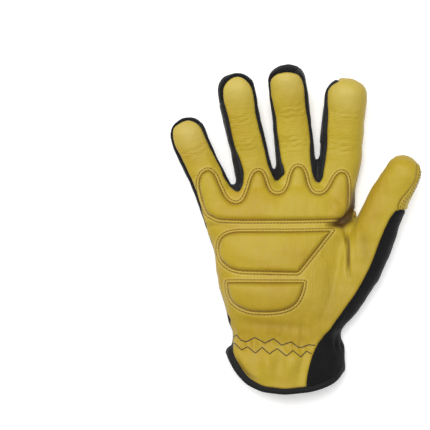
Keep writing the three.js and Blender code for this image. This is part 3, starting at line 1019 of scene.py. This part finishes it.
def rim_edges(tris, count):
    """Directed edges that only one triangle has."""
    directed = np.concatenate([tris[:, [0, 1]], tris[:, [1, 2]], tris[:, [2, 0]]])
    forward = directed[:, 0] * count + directed[:, 1]
    backward = directed[:, 1] * count + directed[:, 0]
    return directed[~np.isin(forward, backward)]


def sheet_piece(name, points, normals, tris, thickness, material, inset=0.15):
    """A piece of the surface given a thickness inwards, with closed edges."""
    used, small = np.unique(tris, return_inverse=True)
    small = small.reshape(-1, 3)
    outer, normal = points[used].copy(), normals[used]
    rim = rim_edges(small, len(used))
    edges, _ = edges_of(small, len(used))
    pull = np.zeros_like(outer)
    for a, b in (edges.T, edges.T[::-1]):
        np.add.at(pull, a, outer[b] - outer[a])
    on_rim = np.unique(rim)
    pull = pull[on_rim] - (pull[on_rim] * normal[on_rim]).sum(1)[:, None] * normal[on_rim]
    outer[on_rim] += inset * unit(pull)
    inner = outer - normal * thickness
    count = len(used)
    a, b = rim.T
    sides = np.vstack([np.stack([b, a, a + count], 1), np.stack([b, a + count, b + count], 1)])
    faces = np.vstack([small, small[:, ::-1] + count, sides])
    return mesh_object(name, np.vstack([outer, inner]), faces, material)


def isolines(points, normals, tris, values, level):
    """Lines on the surface where a value has one level: places and normals in order."""
    edges, tri_edges = edges_of(tris, len(points))
    low, high = values[edges[:, 0]] - level, values[edges[:, 1]] - level
    cross = low * high < 0
    share = np.where(cross, low / np.where(cross, low - high, 1), 0)[:, None]
    place = points[edges[:, 0]] * (1 - share) + points[edges[:, 1]] * share
    facing = normals[edges[:, 0]] * (1 - share) + normals[edges[:, 1]] * share
    hit = cross[tri_edges]
    double = hit.sum(1) == 2
    links = {}
    for a, b in tri_edges[double][hit[double]].reshape(-1, 2).tolist():
        links.setdefault(a, []).append(b)
        links.setdefault(b, []).append(a)
    seen, lines = set(), []
    for start in sorted(links, key=lambda key: (len(links[key]), key)):
        if start in seen:
            continue
        chain, here = [start], start
        seen.add(start)
        while onward := [key for key in links[here] if key not in seen]:
            here = onward[0]
            seen.add(here)
            chain.append(here)
        if len(chain) > 3 and start in links[here] and len(links[start]) == 2:
            chain.append(start)
        lines.append((place[chain], facing[chain]))
    return lines


def along(line, facing, spacing):
    """Evenly spaced places on a line, with the normals there."""
    step = np.linalg.norm(np.diff(line, axis=0), axis=1)
    length = np.concatenate([[0], np.cumsum(step)])
    count = max(int(length[-1] / spacing), 1)
    at = (np.arange(count) + 0.5) * length[-1] / count

    def sampled(values, places):
        return np.stack([np.interp(places, length, values[:, axis]) for axis in range(3)], 1)

    run = unit(sampled(line, at + 0.4) - sampled(line, at - 0.4))
    return sampled(line, at), sampled(facing, at), run


# Sections of one stitch: share of its length from the middle, share of its radius
STITCH_SECTIONS = np.array([[-0.50, 0.35], [-0.36, 0.92], [0.0, 1.0], [0.36, 0.92], [0.50, 0.35]])


def stitch_mesh(lines, length=STITCH_LENGTH, radius=STITCH_RADIUS, pitch=STITCH_PITCH, lift=0.08):
    """Short threads that lie along lines on the surface, joined in one mesh."""
    verts, faces = [], []
    angle = np.linspace(0, 2 * math.pi, STITCH_SIDES, endpoint=False)
    for line, facing in lines:
        for place, normal, run in zip(*along(line, facing, pitch)):
            side = np.cross(run, normal)
            side /= max(np.linalg.norm(side), 1e-6)
            start = len(verts) * STITCH_SIDES * len(STITCH_SECTIONS)
            ring = []
            for share, size in STITCH_SECTIONS:
                dip = lift - 0.9 * radius * (2 * share) ** 4
                centre = place + run * share * length + normal * dip
                ring.append(centre + radius * size * (np.outer(np.cos(angle), side)
                                                      + np.outer(np.sin(angle), normal)))
            verts.append(np.vstack(ring))
            for row in range(len(STITCH_SECTIONS) - 1):
                for k in range(STITCH_SIDES):
                    a = start + row * STITCH_SIDES + k
                    b = start + row * STITCH_SIDES + (k + 1) % STITCH_SIDES
                    faces.append((a, b, b + STITCH_SIDES))
                    faces.append((a, b + STITCH_SIDES, a + STITCH_SIDES))
            last = start + (len(STITCH_SECTIONS) - 1) * STITCH_SIDES
            for k in range(1, STITCH_SIDES - 1):
                faces.append((start, start + k + 1, start + k))
                faces.append((last, last + k, last + k + 1))
    return np.vstack(verts), np.array(faces)


def linear(red, green, blue, strength=1.0):
    """Linear colour of an everyday 0 to 255 one."""
    out = []
    for value in (red, green, blue):
        share = value / 255
        out.append((share / 12.92 if share <= 0.04045 else ((share + 0.055) / 1.055) ** 2.4) * strength)
    return (*out, 1.0)


class Recipe:
    """A node material under construction, in object coordinates."""

    def __init__(self, name, roughness, sheen=0.0, specular=0.5):
        self.material = bpy.data.materials.new(name)
        self.material.use_nodes = True
        self.tree = self.material.node_tree
        self.shader = self.tree.nodes["Principled BSDF"]
        self.set("Roughness", roughness)
        self.set("Specular IOR Level", specular)
        self.set("Sheen Weight", sheen)
        self.set("Sheen Roughness", 0.45)
        self.place = self.tree.nodes.new("ShaderNodeTexCoord").outputs["Object"]
        self.relief = None

    def feed(self, socket, value):
        if hasattr(value, "is_output"):
            self.tree.links.new(value, socket)
        else:
            socket.default_value = value

    def set(self, key, value):
        self.feed(self.shader.inputs[key], value)

    def node(self, kind, inputs, **settings):
        made = self.tree.nodes.new(kind)
        for key, value in settings.items():
            setattr(made, key, value)
        for key, value in inputs.items():
            self.feed(made.inputs[key], value)
        return made

    def stretched(self, scale):
        return self.node("ShaderNodeMapping", {"Vector": self.place, "Scale": scale}).outputs[0]

    def noise(self, size_mm, detail=3.0, rough=0.55, place=None):
        return self.node("ShaderNodeTexNoise", {
            "Vector": place or self.place, "Scale": 1000 / size_mm, "Detail": detail,
            "Roughness": rough}).outputs["Fac"]

    def cells(self, size_mm):
        return self.node("ShaderNodeTexVoronoi", {
            "Vector": self.place, "Scale": 1000 / size_mm}).outputs["Distance"]

    def waves(self, pitch_mm, direction, distortion=0.0):
        turns = 1000 * 2 * math.pi / (20 * pitch_mm)
        return self.node("ShaderNodeTexWave", {
            "Vector": self.place, "Scale": turns, "Distortion": distortion,
            "Detail": 2.0, "Detail Scale": 1.5}, bands_direction=direction).outputs["Fac"]

    def ramp(self, value, stops):
        made = self.node("ShaderNodeValToRGB", {"Fac": value})
        elements = made.color_ramp.elements
        while len(elements) < len(stops):
            elements.new(0.5)
        for element, (place, colour) in zip(elements, stops):
            element.position = place
            element.color = colour
        return made.outputs["Color"]

    def mix(self, share, one, other):
        made = self.node("ShaderNodeMix", {"Factor": share}, data_type="RGBA")
        self.feed(made.inputs[6], one)
        self.feed(made.inputs[7], other)
        return made.outputs[2]

    def attribute(self, name):
        return self.node("ShaderNodeAttribute", {}, attribute_name=name).outputs["Fac"]

    def bump(self, value, depth_mm, strength=1.0):
        inputs = {"Height": value, "Distance": depth_mm * MM, "Strength": strength}
        if self.relief:
            inputs["Normal"] = self.relief
        self.relief = self.node("ShaderNodeBump", inputs).outputs[0]

    def finish(self, colour, roughness=None):
        self.set("Base Color", colour)
        if roughness:
            self.set("Roughness", roughness)
        if self.relief:
            self.set("Normal", self.relief)
        return self.material


GOLD = linear(200, 172, 36, 0.68)
GOLD_LIGHT = linear(207, 183, 52, 0.68)
GOLD_SHADE = linear(193, 158, 28, 0.68)
# What colours the leather where a layer of painted light or shade is strong, each over the one before it:
# painted shade darker and more orange round the heel of the hand (deep), a painted highlight on the finger
# tips (pale) and on the pad ribs (rib), painted shade along the seams, and painted shade in the creases
# (crease), which also gives the leather's brown cut edge at the binding
PAINTED_LIGHT_TINTS = {
    "deep": linear(188, 149, 22, 0.63),
    "pale": linear(222, 202, 112, 0.74),
    "rib": linear(222, 196, 92, 0.74),
    "painted_seam_shade": linear(132, 84, 4, 0.62),
    "crease": linear(110, 64, 4, 0.34),
}
BLACKS = [(0.2, linear(6, 6, 7)), (0.8, linear(17, 17, 18))]


def grey(share):
    return share, share, share, 1


def leather():
    recipe = Recipe("golden_leather", 0.54, sheen=0.09, specular=0.32)
    patches = recipe.noise(42, detail=2.0)
    colour = recipe.ramp(patches, [(0.30, GOLD_SHADE), (0.50, GOLD), (0.72, GOLD_LIGHT)])
    mottle = recipe.noise(3.2, detail=4.0)
    colour = recipe.mix(0.16, colour, recipe.ramp(mottle, [(0.35, GOLD_SHADE), (0.65, GOLD_LIGHT)]))
    # Lays the painted shade and painted highlights over the leather's own colour, one layer after another
    for layer, tint in PAINTED_LIGHT_TINTS.items():
        colour = recipe.mix(recipe.attribute(layer), colour, tint)
    upright = recipe.noise(1.0, detail=3.0, place=recipe.stretched((0.75, 0.10, 0.5)))
    recipe.bump(upright, 0.55, recipe.attribute("upright"))
    across = recipe.noise(1.0, detail=3.0, place=recipe.stretched((0.10, 0.60, 0.5)))
    recipe.bump(across, 0.60, recipe.attribute("rings"))
    recipe.bump(recipe.noise(2.4, detail=5.0, rough=0.6), 0.21)
    recipe.bump(recipe.cells(1.0), 0.09)
    return recipe.finish(colour, recipe.ramp(mottle, [(0.3, grey(0.46)), (0.7, grey(0.60))]))


def knit():
    recipe = Recipe("black_knit", 0.88, sheen=0.10, specular=0.18)
    ribs = recipe.waves(1.5, "Y", 0.6)
    threads = recipe.waves(0.7, "X", 0.8)
    fluff = recipe.noise(1.1, detail=4.0)
    dark, light = linear(7, 7, 8), linear(20, 20, 22)
    colour = recipe.mix(0.5, recipe.ramp(ribs, [(0.2, dark), (0.8, light)]),
                        recipe.ramp(fluff, [(0.3, dark), (0.7, light)]))
    recipe.bump(ribs, 0.16)
    recipe.bump(threads, 0.05)
    recipe.bump(fluff, 0.08)
    return recipe.finish(colour)


def stretch():
    recipe = Recipe("black_stretch", 0.62, sheen=0.12, specular=0.30)
    threads = recipe.waves(0.6, "DIAGONAL", 0.4)
    fluff = recipe.noise(1.4, detail=4.0)
    colour = recipe.ramp(fluff, [(0.3, linear(6, 6, 7)), (0.7, linear(17, 17, 18))])
    recipe.bump(threads, 0.06)
    recipe.bump(fluff, 0.10)
    return recipe.finish(colour)


def binding():
    recipe = Recipe("black_binding", 0.70, sheen=0.08, specular=0.25)
    threads = recipe.waves(0.9, "DIAGONAL", 0.3)
    recipe.bump(threads, 0.10)
    return recipe.finish(recipe.ramp(threads, BLACKS))


def thread(name, dark, light):
    recipe = Recipe(name, 0.65, sheen=0.2)
    twist = recipe.waves(0.35, "DIAGONAL", 0.2)
    recipe.bump(twist, 0.04)
    return recipe.finish(recipe.ramp(twist, [(0.2, dark), (0.8, light)]))


LEATHER, KNIT, STRETCH, BINDING = leather(), knit(), stretch(), binding()
PAD_THREAD = thread("brown_thread", linear(84, 50, 4), linear(120, 78, 12))
CUFF_THREAD = thread("dark_brown_thread", linear(36, 24, 10), linear(62, 44, 20))
FINISHES = {
    "palm_leather": (LEATHER, "leather"), "thumb_shield": (LEATHER, "leather"),
    "index_shield": (LEATHER, "leather"), "back_fabric": (KNIT, "knit"),
    "index_patch": (KNIT, "knit"), "cuff_binding": (BINDING, "binding"),
    **{name: (STRETCH, "stretch") for name in STRIP_ZONES},
}
THICKNESSES = {"leather": LEATHER_THICK, "knit": FABRIC_THICK, "stretch": FABRIC_THICK,
               "binding": BINDING_THICK}

points, tris = build_surface()
label_of = label(points, tris)
tris, label_of = tris[label_of > 0], label_of[label_of > 0]
centres = points[tris].mean(1)
normals = normals_of(points, tris)
faces_up = np.clip(normals[:, 2], 0, 1)
x_share = (points[:, 0] - SHIFT[0]) / GLOVE_LENGTH
y_share = shares_y(points)
on_palm = ease(front_field(points), -0.6, 1.0)
leather_seams, cloth_seams = seam_points(points, tris, label_of, [PIECES.index("cuff_binding")])
seam_gap = distance_to(points, leather_seams)
thumb_seam_gap = polyline_distance(points, THUMB_BACK_SEAM)
hem_rise = hem_field(0)(points)
creases = palm_creases(points)
folds = finger_folds(points)


def tris_of(name):
    return tris[label_of == PIECES.index(name)]


def seam_grooves():
    """Grooves of the seams, deepest beside leather, where the leather swells next to them."""
    leather = -LEATHER_GROOVE * bell(seam_gap, GROOVE_HALF) + 0.30 * bell(seam_gap - 2.4, 1.5)
    cloth = CLOTH_GROOVE * bell(distance_to(points, cloth_seams), GROOVE_HALF)
    thumb = THUMB_GROOVE * bell(thumb_seam_gap, GROOVE_HALF)
    return leather - cloth - thumb * ease(-seam_above(points, THUMB_LIFT), 1, 3)


def binding_swell():
    """Round outside of the binding, flatter on the thumb's side."""
    share = np.clip(2 * hem_rise / BINDING_WIDTH - 1, -1, 1)
    band = 0.9 * np.sqrt(np.clip(1 - share ** 2, 0, 1)) * (hem_rise < BINDING_WIDTH)
    return band * (1 - 0.7 * ease(points[:, 0], *THUMB_HEM))


def relief():
    """How far each point of the glove moves outwards for its seams, creases, folds and gathers."""
    shield = highest(ease(shield_field(name)(points), 0, 1.0) for name in SHIELDS)
    in_patch = ease(on_back(patch_field)(points), 0, 1.0)
    move = seam_grooves() + on_palm * faces_up * (creases + folds) + cuff_gathers(points)
    move += binding_swell()
    move += sum(rise * lumps(points, size, seed) for rise, size, seed in LUMPS)
    move += SHIELD_RISE * shield - PATCH_DIP * in_patch * shield
    over_floor = ease(points[:, 2], 0.2, 6)
    return np.where(move > 0, move * (0.25 + 0.75 * over_floor), move * over_floor)


def palm_wrinkles():
    """Where the ball of the thumb and the wrist are finely wrinkled along the glove."""
    ball = bell(x_share - 0.115, 0.085) * ease(y_share, 0.16, 0.26) * (1 - ease(y_share, 0.46, 0.52))
    return ball + 0.5 * bell(y_share - 0.17, 0.03)


def finger_wrinkles():
    """Where the fingers are finely wrinkled across: between their joints and at each fold."""
    rings = 0.55 * ease(y_share, 0.66, 0.72) * (1 - ease(y_share, 0.86, 0.92))
    for beyond, across, _, _, _ in fold_places(points):
        near_finger = 1 - ease(np.abs(across), FINGER_HALF, 1.2 * FINGER_HALF)
        rings = np.maximum(rings, near_finger * bell(beyond, 4.0))
    return rings


def pad_shade_lines(inside):
    """Painted shade of a pad: dark lines along both its stitch rows, and shade inside them."""
    rows = 0.8 * bell(inside, 0.5) + 0.9 * bell(inside - STITCH_ROWS_APART, 0.6)
    return rows + 0.3 * bell(inside - 3.4, 1.2)


def pad_rib_highlights(inside):
    """Painted highlights of a pad: on its rib between the stitch rows, and on the leather outside it."""
    return bell(inside - STITCH_ROWS_APART / 2, 0.6) + 0.6 * bell(inside + 1.0, 0.6)


def tip_highlight(reach=13.0):
    """Where the finger tips are painted paler: a painted highlight."""
    tips = plan([LIMBS[name][-1, :2] for name in ("pinky", "ring", "middle", "index")])
    return highest(bell(np.hypot(*(points[:, :2] - tip).T), reach) for tip in tips)


def dark_lines():
    """Painted shade in the creases and folds and at the web of the thumb, and a darker band along the
    binding.
    """
    web_shade = bell(polyline_distance(points, plan(PALM_CREASES["web"][:-2, :2])), 5.0)
    # The band along the binding is the leather's brown cut edge, with painted shade added on the outer
    # side, where the leather's edge rolls inwards
    leather_hem = bell(hem_rise - BINDING_WIDTH, 0.9)
    outer_hem = bell(hem_rise - 1.6 * BINDING_WIDTH, 1.8) * bell(x_share + 0.115, 0.035)
    # Painted shade in the creases and folds, the deeper the darker
    crease_shade = np.clip(-(creases + 0.4 * folds) / 4.2, 0, 1)
    return np.clip(on_palm * crease_shade + on_palm * (0.40 * web_shade + 0.6 * leather_hem + 0.7 * outer_hem),
                   0, 0.92)


surface = points + normals * relief()[:, None]
surface[:, 2] = np.maximum(surface[:, 2], CLEARANCE)
normals = normals_of(surface, tris)
in_pads = {name: pad_field(name)(points) for name in PADS}
# Painted shade along the stitch rows of the pads and beside every leather seam
seam_shade = 0.5 * highest(map(pad_shade_lines, in_pads.values())) + 0.3 * bell(seam_gap, 0.7)
# Layers for the leather's material, each from 0 to about 1: painted highlights, painted shade, and where
# the leather is finely wrinkled
PAINTED_LIGHT_AND_WRINKLE_LAYERS = {
    "pale": 0.55 * on_palm * tip_highlight(),
    "rib": 0.6 * np.clip(highest(map(pad_rib_highlights, in_pads.values())), 0, 1),
    "painted_seam_shade": np.clip(seam_shade, 0, 0.8),
    "crease": dark_lines(),
    # Painted shade: the leather darker and more orange round the heel of the hand, where less light falls
    "deep": 0.42 * bell(y_share - 0.24, 0.13),
    "upright": on_palm * palm_wrinkles(),
    "rings": on_palm * finger_wrinkles(),
}


def register(piece, chosen, node):
    """Gives a piece its layers of painted light and shade and of wrinkles, on its outer and its inner
    points, and its place in the frame.
    """
    used = np.unique(chosen)
    for layer_name, values in PAINTED_LIGHT_AND_WRINKLE_LAYERS.items():
        layer = piece.data.attributes.new(layer_name, "FLOAT", "POINT")
        layer.data.foreach_set("value", np.tile(values[used], 2).astype(np.float32))
    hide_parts(node)
    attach(piece, "root")


under_pads = highest(ease(inside, 0, 1.4) for inside in in_pads.values())
palm_base = surface - normals * (PAD_SINK * under_pads)[:, None]
for name in PIECES[1:]:
    chosen = tris_of(name)
    material, slot = FINISHES[name]
    base = palm_base if name == "palm_leather" else surface
    piece = sheet_piece(name + "_panel", base, normals, chosen, THICKNESSES[slot], material)
    register(piece, chosen, name)


def swollen(name):
    """How far a filled pad swells, from 0 to 1: its flat cover, sewn down all round, as cloth."""
    low, high = PADS[name].min(0), PADS[name].max(0)
    columns, rows = (np.arange(low[axis], high[axis] + PAD_GRID, PAD_GRID) for axis in (0, 1))
    grid = np.stack(np.meshgrid(columns, rows), -1).reshape(-1, 2)
    depth = inside_distance(grid, PADS[name])
    number = np.arange(len(grid)).reshape(len(rows), len(columns))
    corners = [number[:-1, :-1], number[:-1, 1:], number[1:, 1:], number[1:, :-1]]
    quads = np.stack(corners, -1).reshape(-1, 4)
    quads = quads[(depth[quads] > -PAD_GRID).all(1)]
    cover = new_mesh("pad_form", np.column_stack([grid, np.zeros(len(grid))]), quads.tolist())
    seam = cover.vertex_groups.new(name="seam")
    seam.add(np.flatnonzero(depth < STITCH_ROWS_APART).tolist(), 1.0, "REPLACE")
    cloth = cover.modifiers.new("cloth", "CLOTH").settings
    cloth.vertex_group_mass = "seam"
    cloth.use_pressure = True
    cloth.uniform_pressure_force = PAD_PRESSURE
    cloth.effector_weights.gravity = 0
    for frame in range(1, PAD_FRAMES + 1):
        bpy.context.scene.frame_set(frame)
    _, spots = modified(cover)
    bpy.data.objects.remove(cover)
    bpy.context.scene.frame_set(1)
    rise = spots[:, 2].reshape(len(rows), len(columns))
    return grid_value(rise / rise.max(), (points[:, :2] - low) / PAD_GRID)


def grid_value(table, place):
    """Value at places between the rows and columns of a table."""
    column = np.clip(place[:, 0], 0, table.shape[1] - 1.001)
    row = np.clip(place[:, 1], 0, table.shape[0] - 1.001)
    i, j = column.astype(int), row.astype(int)
    s, t = column - i, row - j
    below = table[j, i] * (1 - s) + table[j, i + 1] * s
    above = table[j + 1, i] * (1 - s) + table[j + 1, i + 1] * s
    return below * (1 - t) + above * t


pad_surface = surface.copy()


def padded_piece(name, chosen, raised, thickness):
    """A filled piece raised over the surface; the stitches are laid on it later."""
    spots = surface + normals * raised[:, None]
    turned = normals_of(spots, chosen)
    piece = sheet_piece(name + "_cover", spots, turned, chosen, thickness, LEATHER, inset=0.05)
    register(piece, chosen, name)
    used = np.unique(chosen)
    pad_surface[used] = spots[used]


for name, inside in in_pads.items():
    swell = relax(swollen(name)[:, None], tris, 10)[:, 0]
    raised = pad_profile(np.maximum(inside, 0), swell) * (inside > -0.05)
    chosen = tris[(label_of == PIECES.index("palm_leather")) & (pad_field(name)(centres) > 0)]
    padded_piece(name, chosen, raised, LEATHER_THICK)

on_knit = (label_of == PIECES.index("back_fabric")) & (hole_field(centres) < 0)
for name in FINGER_PADS:
    field = finger_pad_field(name)
    inside = field(points)
    raised = FINGER_PAD_THICK * ease(inside, -0.4, 0.8) + 0.5 * ease(inside, 2.2, 6)
    raised = raised - 0.3 * bell(inside - 2, 0.6) + 0.2
    chosen = tris[on_knit & (field(centres) > 0)]
    padded_piece(name, chosen, raised, FINGER_PAD_THICK)

pad_normals = normals_of(pad_surface, tris)


def stitches(name, rows, **sizes):
    """Rows of stitches, each given by a field, its level there and the triangles that carry it."""
    lines = []
    for values, level, chosen in rows:
        lines += [line for line in isolines(pad_surface, pad_normals, chosen, values, level)
                  if len(line[0]) > SHORTEST_ROW]
    piece = mesh_object(name, *stitch_mesh(lines, **sizes), PAD_THREAD)
    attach(piece, "root")


palm_tris = tris_of("palm_leather")
pad_rows = [(inside_distance(points, PADS[name]), level, palm_tris)
            for name in PADS for level in (CLEARANCE, STITCH_ROWS_APART)]
stitches("pad_stitches", pad_rows)

finger_rows = [(finger_pad_field(name)(points), FINGER_PAD_ROW, tris_of("back_fabric"))
               for name in FINGER_PADS]
stitches("finger_pad_stitches", finger_rows, pitch=2.2)

thumb_tris = tris_of("thumb_shield")
index_tris = tris_of("index_shield")
over_thumb = seam_above(points[thumb_tris].mean(1), THUMB_LIFT)
under_thumb = thumb_tris[over_thumb < -1]
shield_rows = [(inside_distance(points, SHIELDS[name]), level, chosen)
               for name, chosen in (("thumb_shield", under_thumb), ("index_shield", index_tris))
               for level in SHIELD_ROWS]
shield_rows.append((thumb_seam_gap, STITCH_ROWS_APART / 2, under_thumb))
thumb_edge = inside_distance(points, THUMB_EDGE)
shield_rows += [(thumb_edge, level, thumb_tris[over_thumb > -1]) for level in THUMB_EDGE_ROWS]
shield_rows += [(patch_field(points), -level, index_tris) for level in SHIELD_ROWS]
stitches("shield_stitches", shield_rows)

palm_tree = BVHTree.FromPolygons(pad_surface.tolist(), palm_tris.tolist())


def on_palm_surface(x, y):
    place, normal, _, _ = palm_tree.ray_cast(Vector((x, y, 120)), Vector((0, 0, -1)))
    return (np.array(place), np.array(normal)) if place else None


def tube(name, line, facing, radius, material, sides=6):
    """A thread of even thickness through places on the surface."""
    run = unit(np.gradient(line, axis=0))
    side = unit(np.cross(run, facing))
    rise = np.cross(side, run)
    angle = np.linspace(0, 2 * math.pi, sides, endpoint=False)
    rings = [line[i] + radius * (np.outer(np.cos(angle), side[i]) + np.outer(np.sin(angle), rise[i]))
             for i in range(len(line))]
    return new_mesh(name, *skin(rings), material)


for name, places in ZIGZAGS.items():
    corners = plan(places)
    steps = [corners[i] * (1 - t) + corners[i + 1] * t
             for i in range(len(corners) - 1) for t in np.linspace(0, 1, 8, endpoint=False)]
    found = [hit for hit in (on_palm_surface(*step) for step in steps) if hit]
    line, facing = map(np.array, zip(*found))
    line = line + facing * CLEARANCE
    zigzag = tube(name + "_zigzag", line, facing, ZIGZAG_RADIUS, CUFF_THREAD)
    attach(zigzag, "root")


# Round lights: place in metres, size in metres, power in watts; all shine at the glove
LAMPS = {
    "main": ((-0.12, 0.30, 1.50), 0.60, 15.2),
    "key": ((-0.80, 0.60, 0.90), 0.60, 7.0),
    "fill": ((0.80, -0.20, 0.90), 0.80, 2.6),
}
LIT_PLACE = Vector((0, 0, 0.02))
for name, (place, size, power) in LAMPS.items():
    light = bpy.data.lights.new(name, "AREA")
    light.shape = "DISK"
    light.size = size
    light.energy = power
    lamp = new_object(name, light)
    lamp.location = place
    lamp.rotation_euler = (LIT_PLACE - Vector(place)).to_track_quat("-Z", "Y").to_euler()
bpy.context.scene.view_settings.view_transform = "Standard"

world = bpy.data.worlds.new("studio")
bpy.context.scene.world = world
world.use_nodes = True
background = world.node_tree.nodes["Background"]
background.inputs["Color"].default_value = (1, 1, 1, 1)
background.inputs["Strength"].default_value = 0.32

FLOOR_REACH = 3.0
floor_mesh = bpy.data.meshes.new("floor")
corners = [(FLOOR_REACH * x, FLOOR_REACH * y, 0) for x, y in ((-1, -1), (1, -1), (1, 1), (-1, 1))]
floor_mesh.from_pydata(corners, [], [(0, 1, 2, 3)])
floor = new_object("floor", floor_mesh)
floor_recipe = Recipe("pale_floor", 0.9, specular=0.2)
floor_recipe.set("Emission Color", (1, 1, 1, 1))
floor_recipe.set("Emission Strength", 0.30)
tone = floor_recipe.ramp(floor_recipe.noise(300), [(0.3, grey(0.86)), (0.7, grey(0.90))])
floor_mesh.materials.append(floor_recipe.finish(tone))
floor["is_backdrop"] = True

# The camera looks straight down; its picture is as wide as VIEW_WIDTH at the height of the palm
VIEW_CENTRE = plan([-0.2064, 0.5432]) * MM
VIEW_WIDTH = 0.32625
PALM_HEIGHT = 0.025
CAMERA_HEIGHT = 1.5
camera_data = bpy.data.cameras.new("camera")
camera_data.sensor_width = 36.0
camera_data.lens = camera_data.sensor_width * (CAMERA_HEIGHT - PALM_HEIGHT) / VIEW_WIDTH
camera = new_object("camera", camera_data)
camera.location = (*VIEW_CENTRE, CAMERA_HEIGHT)
bpy.context.scene.camera = camera


def plain(value):
    return value.tolist() if hasattr(value, "tolist") else [list(map(float, part)) for part in value]


{"cad": plain(CAD_BOX), "visual": plain(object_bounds())}
